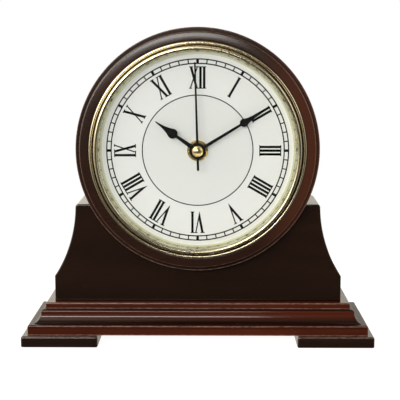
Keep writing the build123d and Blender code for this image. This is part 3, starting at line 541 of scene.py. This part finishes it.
def make_materials():
    """One material for each of the record's slots."""
    front = ((0.0085, 0.0038, 0.0022), (0.0125, 0.0052, 0.0029), (0.018, 0.0072, 0.0038))
    red = ((0.038, 0.0062, 0.0018), (0.050, 0.0084, 0.0025), (0.064, 0.0110, 0.0034))
    ring = ((0.013, 0.0052, 0.0026), (0.019, 0.0070, 0.0035), (0.029, 0.0098, 0.0048))
    board_low, cove_low = (corner.z for corner in corners("base_board"))
    top_low, top_high = (corner.z for corner in corners("plinth_top"))
    # The plinth's and feet's edge lines are partly wear and partly painted highlight.
    plinth_lines = ((board_low + 0.3, 0.55, 0.60), (top_low + 0.5, 0.5, 0.75), (top_high - 0.5, 0.5, 0.65),
                    (cove_low - 0.6, 0.5, 0.60))
    # Painted shade in the cove and a painted shadow in the gap under the plinth top.
    plinth_shaded_hollows = ((cove_low + 1.0, 4.4, 1.15), (top_low - 0.2, 0.75, 3.0))
    feet_lines = ((board_low - 0.5, 0.6, 0.45),)
    rim = half_width("drum_front_ring")
    # The ring's edge lines are partly wear and partly painted highlight, with a painted reflection of the
    # floor at the outer edge.
    ring_lines = ((rim - 0.35, 0.5, 0.45), (rim - 3.3, 0.5, 0.25))
    made = (
        wood("mahogany_feet", *front, level_lines=feet_lines),
        wood("mahogany_plinth", *red, level_lines=plinth_lines, shaded_hollows=plinth_shaded_hollows),
        wood("mahogany_body", *front),
        wood("mahogany_drum", *ring),
        wood("mahogany_ring", *ring, coat_rough=0.20, round_lines=ring_lines, redder=True),
        board_lacquer("back_board_lacquer"),
        brass("brass_screws", rough=0.26, turned_lines=False),
        metal("screw_steel", (0.62, 0.60, 0.55), 0.30),
        felt("felt"),
        # Painted shade in the groove between bead and band, and a thin darker line on the band near the lip.
        brass("bezel_brass", grooves=((74.75, 0.95, 1.6), (71.9, 0.5, 0.6))),
        brass("hub_brass", tone=(0.86, 0.66, 0.30), rough=0.20),
        clear_glass("clear_glass"),
        dial_enamel("dial_enamel"),
        gloss_black("black_hands"),
        plastic("black_rubber", (0.018, 0.018, 0.018), 0.75, 900, 0.3),
        plastic("black_plastic", (0.022, 0.022, 0.023), 0.50),
        plastic("movement_plastic", (0.030, 0.030, 0.032), 0.48, 1300, 0.25),
        plastic("knob_plastic", (0.45, 0.035, 0.025), 0.35, 1100, 0.1),
        plastic("wheel_plastic", (0.78, 0.76, 0.70), 0.35, 1100, 0.08, subsurface_weight=0.1),
        metal("magnet", (0.17, 0.17, 0.18), 0.42),
        metal("contact_steel", (0.66, 0.65, 0.62), 0.25, (300, 2400, 2400)),
        copper_wire("copper_wire"),
        board_laminate("board_laminate"),
        battery_wrap("battery_wrap"),
    )
    return {plain_name(material): material for material in made}


# --- outlines ---
def through(start, middle, end, steps):
    """Points on the arc from start to end that passes through middle, without the start."""
    (ax, ay), (bx, by), (cx, cy) = start, middle, end
    d = 2 * (ax * (by - cy) + bx * (cy - ay) + cx * (ay - by))
    a2, b2, c2 = ax * ax + ay * ay, bx * bx + by * by, cx * cx + cy * cy
    ox = (a2 * (by - cy) + b2 * (cy - ay) + c2 * (ay - by)) / d
    oy = (a2 * (cx - bx) + b2 * (ax - cx) + c2 * (bx - ax)) / d
    radius = math.hypot(ax - ox, ay - oy)
    first = math.atan2(ay - oy, ax - ox)
    turn_to = [(math.atan2(y - oy, x - ox) - first) % (2 * math.pi) for x, y in (middle, end)]
    sweep = turn_to[1] if turn_to[0] < turn_to[1] else turn_to[1] - 2 * math.pi
    angles = [first + sweep * step / steps for step in range(1, steps + 1)]
    return [(ox + radius * math.cos(a), oy + radius * math.sin(a)) for a in angles]


def around(radius, first, last, steps, centre=(0.0, 0.0)):
    """Points on a circle between two angles in degrees, both ends included."""
    angles = [math.radians(first + (last - first) * step / steps) for step in range(steps + 1)]
    return [(centre[0] + radius * math.cos(a), centre[1] + radius * math.sin(a)) for a in angles]


def circle(radius, steps):
    return around(radius, 0, 360, steps)[:-1]


def pulled(start, pull_1, pull_2, end, steps):
    """Points on a cubic curve from start to end, without the start."""
    points = []
    for step in range(1, steps + 1):
        t = step / steps
        weights = ((1 - t) ** 3, 3 * t * (1 - t) ** 2, 3 * t * t * (1 - t), t ** 3)
        knots = (start, pull_1, pull_2, end)
        points.append(tuple(sum(w * k[axis] for w, k in zip(weights, knots)) for axis in (0, 1)))
    return points


def eased(points, radius):
    """A closed outline with its sharp corners rounded. Shallow corners stay."""
    shallow, longest, steps = math.radians(20), 0.45, 4
    made = []
    for i, corner in enumerate(points):
        before = Vector(points[i - 1]) - Vector(corner)
        after = Vector(points[(i + 1) % len(points)]) - Vector(corner)
        turn = math.pi - before.angle(after)
        if turn < shallow:
            made.append(tuple(corner))
            continue
        reach = min(radius * math.tan(turn / 2), longest * before.length, longest * after.length)
        start = Vector(corner) + before.normalized() * reach
        end = Vector(corner) + after.normalized() * reach
        for step in range(steps + 1):
            t = step / steps
            made.append(tuple((1 - t) ** 2 * start + 2 * t * (1 - t) * Vector(corner) + t * t * end))
    return made


def inset(points, amount):
    """A closed outline moved inwards by an amount, or outwards if it is negative."""
    count = len(points)
    least = 0.25
    area = sum(points[i - 1][0] * points[i][1] - points[i][0] * points[i - 1][1] for i in range(count))
    side = 1 if area > 0 else -1
    moved = []
    for i, point in enumerate(points):
        before = (Vector(point) - Vector(points[i - 1])).normalized()
        after = (Vector(points[(i + 1) % count]) - Vector(point)).normalized()
        n1 = Vector((-before.y, before.x)) * side
        n2 = Vector((-after.y, after.x)) * side
        step = (n1 + n2) / max(1 + n1.dot(n2), least)
        moved.append(tuple(Vector(point) + step * amount))
    return moved


# --- shapes ---
def turned(outline, turns=240):
    """A closed (radius, depth) outline turned about the dial's axis."""
    shape = bmesh.new()
    rings = []
    for radius, depth in outline:
        if radius < 1e-6:
            rings.append([shape.verts.new((0, depth, 0))] * turns)
            continue
        angles = [2 * math.pi * turn / turns for turn in range(turns)]
        rings.append([shape.verts.new((radius * math.sin(a), depth, radius * math.cos(a))) for a in angles])
    for ring, following in zip(rings, rings[1:] + rings[:1]):
        for turn in range(turns):
            after = (turn + 1) % turns
            loop = list(dict.fromkeys((ring[turn], ring[after], following[after], following[turn])))
            if len(loop) > 2:
                shape.faces.new(loop)
    return shape


def plate(outlines, sections):
    """Outlines in (x, z), the first outside and the rest holes, carried through (inset, depth) sections."""
    shape = bmesh.new()
    caps = ([], [])
    for number, outline in enumerate(outlines):
        sign = 1 if number == 0 else -1
        loops = []
        for amount, depth in sections:
            points = inset(outline, sign * amount) if amount else outline
            loops.append([shape.verts.new((x, depth, z)) for x, z in points])
        for loop, following in zip(loops, loops[1:]):
            for i in range(len(loop)):
                shape.faces.new((loop[i - 1], loop[i], following[i], following[i - 1]))
        for cap, loop in zip(caps, (loops[0], loops[-1])):
            cap.extend(shape.edges.get((loop[i - 1], loop[i])) for i in range(len(loop)))
    for cap in caps:
        bmesh.ops.triangle_fill(shape, edges=cap, use_beauty=True, use_dissolve=False)
    return shape


def easing(front, back, front_ease, back_ease, steps=4):
    """Sections of a plate with a rounded rim at the front and the back."""
    sections = []
    for step in range(steps + 1):
        a = math.radians(90) * step / steps
        sections.append((front_ease * (1 - math.sin(a)), front + front_ease * (1 - math.cos(a))))
    for step in range(steps + 1):
        a = math.radians(90) * (1 - step / steps)
        sections.append((back_ease * (1 - math.sin(a)), back - back_ease * (1 - math.cos(a))))
    return sections


def file_piece(name, shape, slot, body=CASE, stands_for=(), at=None, sharp=38.0, material=None):
    """Turns a shape in millimetres into a smooth-shaded piece that rides on a body."""
    bmesh.ops.recalc_face_normals(shape, faces=shape.faces)
    bmesh.ops.scale(shape, vec=(MM, MM, MM), verts=shape.verts)
    mesh = bpy.data.meshes.new(name)
    shape.to_mesh(mesh)
    shape.free()
    mesh.shade_smooth()
    mesh.set_sharp_from_angle(angle=math.radians(sharp))
    mesh.materials.append(material or finishes[slot])
    piece = bpy.data.objects.new(name, mesh)
    piece.location = (at or Vector()) * MM
    bpy.context.scene.collection.objects.link(piece)
    piece.modifiers.new("even_normals", "WEIGHTED_NORMAL").keep_sharp = True
    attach(piece, body)
    if stands_for:
        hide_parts(*stands_for)
    return piece


# --- body and drum ---
BEZEL_SEAT = -28.4


def body_outline():
    """Half of the flared outline, from the bottom corner to the shoulder, on the right."""
    low, high = corners("front_panel")
    wide, bottom, top = high.x, low.z, high.z
    straight = 48.2
    flare = 96.6
    ease = 2.2
    steps = 28

    def bulge(height):
        return flare - math.sqrt(flare ** 2 - (top - height) ** 2)

    narrow = wide - bulge(straight)
    heights = [straight + (top - ease - straight) * step / steps for step in range(steps + 1)]
    side = [(narrow + bulge(height), height) for height in heights]
    edge, spring = side[-1]
    shoulder = around(ease, 0, 90, 5, (edge - ease, spring))
    return [(wide, bottom)] + side + shoulder[1:]


def panel_outline():
    """The whole front: both flared sides, the shoulders and the round cradle for the drum."""
    side = body_outline()
    top = side[-1][1]
    radius = half_width("drum_front_ring")
    reach = math.degrees(math.asin((top - dial_height) / radius))
    cradle = around(radius, reach, -180 - reach, 96, (0.0, dial_height))
    mirrored = [(-x, z) for x, z in reversed(side)]
    return side + cradle + mirrored


def cheek_outline(side_sign):
    """The part of a flared side that stands between the panels."""
    low = corners("right_cheek")[0]
    side = body_outline()
    radius = half_width("drum_front_ring")
    reach = math.degrees(math.asin((side[-1][1] - dial_height) / radius))
    inner = -math.degrees(math.acos(low.x / radius))
    points = side + around(radius, reach, inner, 6, (0.0, dial_height)) + [(low.x, low.z)]
    return [(side_sign * x, z) for x, z in points]


def make_body():
    """The front and back panels and the two cheeks between them, with eased edges and tight seams."""
    seam, edge = 0.12, 1.1
    for node, outline, front_ease, back_ease in (
        ("front_panel", panel_outline(), edge, seam),
        ("back_panel", panel_outline(), seam, edge),
        ("left_cheek", cheek_outline(-1), seam, seam),
        ("right_cheek", cheek_outline(1), seam, seam),
    ):
        low, high = corners(node)
        sections = easing(low.y, high.y, front_ease, back_ease)
        file_piece(node + "_wood", plate([outline], sections), "mahogany_body", stands_for=[node])


def make_drum():
    """The turned front ring, with its outer step and slightly domed face, and the plain shell behind it."""
    radius = half_width("drum_front_ring")
    front, back = ring_low.y, ring_high.y
    step_width, step_depth, round_radius, dome = 2.9, 4.4, 1.25, 0.4
    bore = 73.0
    bezel_gap, board_gap = 0.1, 0.2
    step_ease, shell_ease = 0.5, 0.7
    rim_width, rim_drop = 0.5, 0.4
    rebate = half_width("bezel") + bezel_gap
    shoulder = radius - step_width
    crown = (shoulder - round_radius, front + dome)
    spring = (shoulder, crown[1] + round_radius)
    outline = [(bore, back), (radius, back), (radius, front + step_depth), (shoulder, front + step_depth)]
    # The step's inner corner is the last one. It stays sharp, so its five eased points go.
    outline = eased(outline, step_ease)[:-5] + [(shoulder, front + step_depth), spring]
    share = round_radius * (1 - math.sqrt(0.5))
    outline += through(spring, (shoulder - share, crown[1] + share), crown, 10)
    outline += through(crown, ((rebate + crown[0]) / 2, front + dome / 4), (rebate + rim_width, front), 8)
    outline += [(rebate + 0.3 * rim_width, front + 0.3 * rim_drop), (rebate, front + rim_drop)]
    outline += [(rebate, BEZEL_SEAT), (bore, BEZEL_SEAT)]
    file_piece("drum_ring_wood", turned(outline), "mahogany_ring", stands_for=["drum_front_ring"],
               at=dial_centre)
    low, high = corners("drum_shell")
    inner = 78.0
    board_rebate = half_width("back_board") + board_gap
    board_front = corners("back_board")[0].y
    shell = [(inner, low.y), (radius, low.y), (radius, high.y), (board_rebate, high.y),
             (board_rebate, board_front), (inner, board_front)]
    file_piece("drum_shell_wood", turned(eased(shell, shell_ease)), "mahogany_drum",
               stands_for=["drum_shell"], at=dial_centre)


# --- dial insert ---
GLASS_THICKNESS = 1.4
LIP_RADIUS = 71.3


def make_bezel():
    """Outer bead, groove, broad rounded band and the lip that holds the glass."""
    radius = half_width("bezel")
    front, back = (corner.y for corner in corners("bezel"))
    groove_floor = -28.9
    bead_inner, groove_inner = 75.2, 73.9
    bead_rise = 2.3
    crown_radius = 72.6
    band_foot = -31.6
    lip_front = -32.9
    glass_radius = half_width("glass")
    glass_front = corners("glass_gasket")[0].y - GLASS_THICKNESS
    skirt = 72.9
    root = BEZEL_SEAT - bead_rise / 2
    bead_crown = ((radius + bead_inner) / 2, BEZEL_SEAT - bead_rise)
    outline = [(radius, BEZEL_SEAT), (radius, root)]
    outline += through((radius, root), bead_crown, (bead_inner, root), 16)
    outline += [(bead_inner, groove_floor), (groove_inner, groove_floor), (groove_inner, band_foot)]
    outline += through((groove_inner, band_foot), (crown_radius, front), (LIP_RADIUS, lip_front), 20)
    outline += [(LIP_RADIUS, glass_front), (glass_radius, glass_front), (glass_radius, back),
                (skirt, back), (skirt, BEZEL_SEAT)]
    file_piece("bezel_turned", turned(outline, 288), "bezel_brass", stands_for=["bezel"], at=dial_centre,
               sharp=50)


def make_glass():
    """The slightly domed glass, one thickness all over, with a flat rim."""
    rise, ease, steps = 2.4, 0.2, 40
    edge = corners("glass_gasket")[0].y - GLASS_THICKNESS
    rim = half_width("glass")
    sphere = (LIP_RADIUS ** 2 + rise ** 2) / (2 * rise)

    def depth(radius):
        return edge - rise + sphere - math.sqrt(sphere ** 2 - radius ** 2)

    radii = [LIP_RADIUS * step / steps for step in range(steps + 1)]
    front = [(radius, depth(radius)) for radius in radii]
    back = [(radius, depth(radius) + GLASS_THICKNESS) for radius in reversed(radii)]
    outline = front + [(rim - ease, edge), (rim, edge + ease), (rim, edge + GLASS_THICKNESS)] + back
    file_piece("glass_dome", turned(outline, 192), "clear_glass", stands_for=["glass"], at=dial_centre)


def make_sight_ring():
    """The bright slope between the glass and the dial."""
    low, high = corners("sight_ring")
    outer = half_width("sight_ring")
    inner, top = 68.6, 71.1
    edge, hollow = 0.25, 0.12
    foot = high.y - edge
    bulge = ((inner + top) / 2 - hollow, (foot + low.y) / 2)
    outline = [(outer, low.y), (outer, high.y), (inner, high.y), (inner, foot)]
    outline += through((inner, foot), bulge, (top, low.y), 12)
    file_piece("sight_ring_turned", turned(outline, 240), "bezel_brass", stands_for=["sight_ring"],
               at=dial_centre, material=pale_brass)


def make_dial():
    low, high = corners("dial")
    bore, rim = 4.1, half_width("dial")
    outline = [(bore, low.y), (rim, low.y), (rim, high.y), (bore, high.y)]
    file_piece("dial_plate", turned(outline, 180), "dial_enamel", stands_for=["dial"], at=dial_centre)


# --- print on the dial ---
INK_THICKNESS = 0.05


def printed(name, shape):
    """Files a flat printed shape, drawn at depth 0, just clear of the dial's face."""
    clear_of_dial = 0.02
    bmesh.ops.recalc_face_normals(shape, faces=shape.faces)
    bmesh.ops.translate(shape, vec=(0, dial_face - INK_THICKNESS, 0), verts=shape.verts)
    sides = bmesh.ops.extrude_face_region(shape, geom=list(shape.faces))
    lower = [item for item in sides["geom"] if isinstance(item, bmesh.types.BMVert)]
    bmesh.ops.translate(shape, vec=(0, INK_THICKNESS * (1 - clear_of_dial), 0), verts=lower)
    file_piece(name, shape, "black_hands", at=dial_centre, sharp=20, material=ink)


def spokes(shape, radii, angles):
    """A point at each radius for each angle, clockwise from the top."""
    return [[shape.verts.new((r * math.sin(a), 0, r * math.cos(a))) for r in radii] for a in angles]


def make_minute_track():
    """Two circles joined by sixty ticks, the hour ticks broader."""
    line = 0.86
    outer, inner = 64.9, 61.8
    radii = (inner - line / 2, inner + line / 2, outer - line / 2, outer + line / 2)
    minute_half, hour_half = 0.40, 0.95
    middle = (inner + outer) / 2
    marks = []

    def tick_half(minute):
        return math.degrees((minute_half if minute % 5 else hour_half) / middle)

    for minute in range(60):
        start = 6 * minute + tick_half(minute)
        end = 6 * (minute + 1) - tick_half(minute + 1)
        marks.append((6 * minute - tick_half(minute), True))
        marks += [(start + (end - start) * part / 4, False) for part in range(4)]
    shape = bmesh.new()
    columns = spokes(shape, radii, [math.radians(degrees) for degrees, _ in marks])
    for i, (_, is_tick) in enumerate(marks):
        column, following = columns[i], columns[(i + 1) % len(marks)]
        for band in (0, 1, 2) if is_tick else (0, 2):
            shape.faces.new((column[band], column[band + 1], following[band + 1], following[band]))
    printed("minute_track", shape)


def make_inner_circle():
    line, steps = 0.72, 180
    radii = (CIRCLE_RADIUS - line / 2, CIRCLE_RADIUS + line / 2)
    shape = bmesh.new()
    columns = spokes(shape, radii, [2 * math.pi * step / steps for step in range(steps)])
    for i in range(steps):
        column, following = columns[i - 1], columns[i]
        shape.faces.new((column[0], column[1], following[1], following[0]))
    printed("inner_circle", shape)


NUMERAL_HEIGHT = 15.7
NUMERAL_BASE = 44.0
THICK = 1.75
THIN = 0.88
SERIF = 0.68
I_WIDTH = 2.64
V_WIDTH = 7.5
X_WIDTH = 6.7


def crossing(a, b, c, d):
    """Where the line through a and b meets the line through c and d."""
    p, q = Vector(a), Vector(c)
    u, v = Vector(b) - p, Vector(d) - q
    share = (q - p).cross(v) / u.cross(v)
    return tuple(p + u * share)


def letter_i():
    left, right = (I_WIDTH - THICK) / 2, (I_WIDTH + THICK) / 2
    low, high = SERIF, NUMERAL_HEIGHT - SERIF
    return [(0, 0), (I_WIDTH, 0), (I_WIDTH, low), (right, low), (right, high), (I_WIDTH, high),
            (I_WIDTH, NUMERAL_HEIGHT), (0, NUMERAL_HEIGHT), (0, high), (left, high), (left, low), (0, low)]


def letter_v():
    """A broad left stroke and a fine right one that meet in a blunt point."""
    high = NUMERAL_HEIGHT - SERIF
    outward, inward, blunt = 0.75, 0.6, 0.1
    thick_left, thin_right = outward, V_WIDTH - outward
    thick_right, thin_left = thick_left + THICK, thin_right - THIN
    foot_left, foot_right = V_WIDTH / 2 - blunt, V_WIDTH / 2 + blunt
    inner = crossing((thick_right, high), (foot_left + THICK, 0), (thin_left, high), (foot_right - THIN, 0))
    return [(foot_left, 0), (foot_right, 0), (thin_right, high), (V_WIDTH, high), (V_WIDTH, NUMERAL_HEIGHT),
            (thin_left - outward, NUMERAL_HEIGHT), (thin_left - outward, high), (thin_left, high), inner,
            (thick_right, high), (thick_right + inward, high), (thick_right + inward, NUMERAL_HEIGHT),
            (0, NUMERAL_HEIGHT), (0, high), (thick_left, high)]


def letter_x():
    """A broad stroke down to the right and a fine one down to the left."""
    low, high = SERIF, NUMERAL_HEIGHT - SERIF
    edge = 0.55
    top_a, foot_a = edge, X_WIDTH - edge - THICK
    top_b, foot_b = X_WIDTH - edge - THIN, edge
    a_left, a_right = ((top_a, high), (foot_a, low)), ((top_a + THICK, high), (foot_a + THICK, low))
    b_left, b_right = ((top_b, high), (foot_b, low)), ((top_b + THIN, high), (foot_b + THIN, low))
    return [
        (0, NUMERAL_HEIGHT), (top_a + THICK + edge, NUMERAL_HEIGHT), (top_a + THICK + edge, high),
        a_right[0],
        crossing(*a_right, *b_left),
        b_left[0], (top_b - edge, high), (top_b - edge, NUMERAL_HEIGHT), (X_WIDTH, NUMERAL_HEIGHT),
        (X_WIDTH, high), b_right[0],
        crossing(*a_right, *b_right),
        a_right[1], (X_WIDTH, low), (X_WIDTH, 0), (foot_a - edge, 0), (foot_a - edge, low), a_left[1],
        crossing(*a_left, *b_right),
        b_right[1], (foot_b + THIN + edge, low), (foot_b + THIN + edge, 0), (0, 0), (0, low), b_left[1],
        crossing(*a_left, *b_left),
        a_left[0], (0, high),
    ]


LETTERS = {"I": (letter_i, I_WIDTH), "V": (letter_v, V_WIDTH), "X": (letter_x, X_WIDTH)}
NUMERALS = ("XII", "I", "II", "III", "IIII", "V", "VI", "VII", "VIII", "IX", "X", "XI")


def make_numerals():
    """Twelve Roman numerals, each with its foot towards the middle of the dial."""
    for hour, text in enumerate(NUMERALS):
        shape = bmesh.new()
        width = sum(LETTERS[letter][1] for letter in text)
        start = -width / 2
        for letter in text:
            outline, advance = LETTERS[letter]
            points = [(start + x, NUMERAL_BASE + y) for x, y in outline()]
            shape.faces.new([shape.verts.new((x, 0, z)) for x, z in points])
            start += advance
        bmesh.ops.remove_doubles(shape, verts=shape.verts, dist=0.001)
        turn = Matrix.Rotation(math.radians(30 * hour), 3, "Y")
        bmesh.ops.rotate(shape, matrix=turn, verts=shape.verts)
        printed(f"numeral_{hour or 12}", shape)


# --- hands ---
def spade(length, blob_place, blob_radius, root, neck, tip, boss):
    """A hand that points up: a round boss, a tapering stem, a round blob and a hollow taper to the tip.

    The taper is a cubic curve whose pulls are shares of the way from the blob to the tip.
    """
    neck_angle = math.asin(neck / 2 / blob_radius)
    root_angle = math.asin(root / 2 / boss)
    lift = math.radians(30)
    neck_point = (neck / 2, blob_place - blob_radius * math.cos(neck_angle))
    shoulder = (blob_radius * math.cos(lift), blob_place + blob_radius * math.sin(lift))
    reach = length - blob_place
    pull_1 = (shoulder[0] - 0.17 * reach * math.sin(lift), shoulder[1] + 0.17 * reach)
    pull_2 = (tip / 2 + 0.03 * reach, blob_place + 0.55 * reach)
    tip_point = (tip / 2, length - tip / 2)
    half = [(boss * math.sin(root_angle), boss * math.cos(root_angle)), neck_point]
    half += through(neck_point, (blob_radius, blob_place), shoulder, 14)
    half += pulled(shoulder, pull_1, pull_2, tip_point, 16)
    half += through(tip_point, (0.35 * tip, length - 0.146 * tip), (0, length), 4)
    mirrored = [(-x, z) for x, z in reversed(half[:-1])]
    start = 90 + math.degrees(root_angle)
    return half + mirrored + around(boss, start, 450 - math.degrees(root_angle), 40)[1:-1]


def make_hand(name, body, outline, bore, angle, ease=0.1):
    """A flat blackened hand turned clockwise to its angle, bored for its pipe."""
    front = corners(name)[0].y
    thickness, back_ease = 0.3, 0.04
    sections = easing(front, front + thickness, ease, back_ease, 3)
    shape = plate([outline, circle(bore, 32)], sections)
    bmesh.ops.rotate(shape, matrix=Matrix.Rotation(math.radians(angle), 3, "Y"), verts=shape.verts)
    file_piece(name + "_painted", shape, "black_hands", body=body, stands_for=[name], at=dial_centre,
               sharp=50)


def needle(length, tail, boss, root, tip):
    """The second hand: a round boss, a stem that narrows to the tip and a straight tail."""
    lift = math.degrees(math.acos(root / boss))
    tip_cut, tip_corner = 0.2, 0.3
    tail_cut, tail_corner = 0.5, 0.6
    outline = [(root, boss * math.sin(math.radians(lift))), (tip, length - tip_corner),
               (tip - tip_cut, length), (tip_cut - tip, length), (-tip, length - tip_corner)]
    outline += around(boss, 180 - lift, 180 + lift, 16)
    outline += [(-root, tail_corner - tail), (tail_cut - root, -tail), (root - tail_cut, -tail),
                (root, tail_corner - tail)]
    return outline + around(boss, 360 - lift, 360 + lift, 16)[:-1]


def make_hands():
    hour = spade(length=36.6, blob_place=21.6, blob_radius=3.6, root=3.2, neck=2.2, tip=0.8, boss=5.6)
    minute = spade(length=60.2, blob_place=38.6, blob_radius=3.0, root=2.5, neck=1.8, tip=0.7, boss=5.2)
    second = needle(length=62.8, tail=14.0, boss=3.4, root=0.85, tip=0.55)
    make_hand("hour_hand", "hour_hand", hour, bore=3.0, angle=304.9)
    make_hand("minute_hand", "minute_hand", minute, bore=1.9, angle=58.5)
    make_hand("second_hand", "second_hand", second, bore=0.75, angle=358.3, ease=0.08)


def make_cap():
    """The domed brass button in the middle, on a short straight rim."""
    low, high = corners("second_hand_cap")
    radius = half_width("second_hand_cap")
    rim_height, ease, steps = 0.5, 0.1, 18
    rim = high.y - rim_height
    rise = rim - low.y
    sphere = (radius ** 2 + rise ** 2) / (2 * rise)
    outline = [(0, high.y), (radius - ease, high.y), (radius, high.y - ease), (radius, rim)]
    for step in range(1, steps + 1):
        r = radius * (1 - step / steps)
        outline.append((r, low.y + sphere - math.sqrt(sphere ** 2 - r ** 2)))
    file_piece("cap_domed", turned(outline, 96), "hub_brass", body="second_hand",
               stands_for=["second_hand_cap"], at=dial_centre, sharp=50)


# --- stage ---
def make_floor():
    """A pale round light table, so that the plinth casts almost no shadow on it."""
    finish = Finish("pale_floor")
    speckle = finish.noise(finish.stretched((60, 60, 60)), 1.0, 3.0)
    finish.colour(finish.ramp(speckle, (0.3, (0.30, 0.30, 0.30)), (0.7, (0.33, 0.33, 0.33))))
    finish.roughness(finish.span(speckle, 0.3, 0.7, 0.85, 0.95))
    finish.set(specular_ior_level=0.1, emission_color=(1.0, 1.0, 0.995), emission_strength=0.95)
    shape = bmesh.new()
    radius, shift = 300.0, 60.0
    shape.faces.new([shape.verts.new((x, y + shift, 0)) for x, y in circle(radius, 128)])
    bmesh.ops.scale(shape, vec=(MM, MM, MM), verts=shape.verts)
    mesh = bpy.data.meshes.new("floor")
    shape.to_mesh(mesh)
    shape.free()
    mesh.materials.append(finish.material)
    floor = bpy.data.objects.new("floor", mesh)
    floor.visible_glossy = False
    bpy.context.scene.collection.objects.link(floor)


make_camera()
make_lights()
make_world()
make_floor()
finishes = make_materials()
ink = gloss_black("dial_ink", 0.55, 0.06)
pale_brass = brass("pale_brass", tone=(0.76, 0.75, 0.54), rough=0.22)
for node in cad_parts.values():
    place = node.material_slots[0]
    place.material = finishes[plain_name(place.material)]
make_body()
make_drum()
make_bezel()
make_glass()
make_sight_ring()
make_dial()
make_minute_track()
make_inner_circle()
make_numerals()
make_hands()
make_cap()

bpy.context.scene.view_settings.view_transform = "Standard"
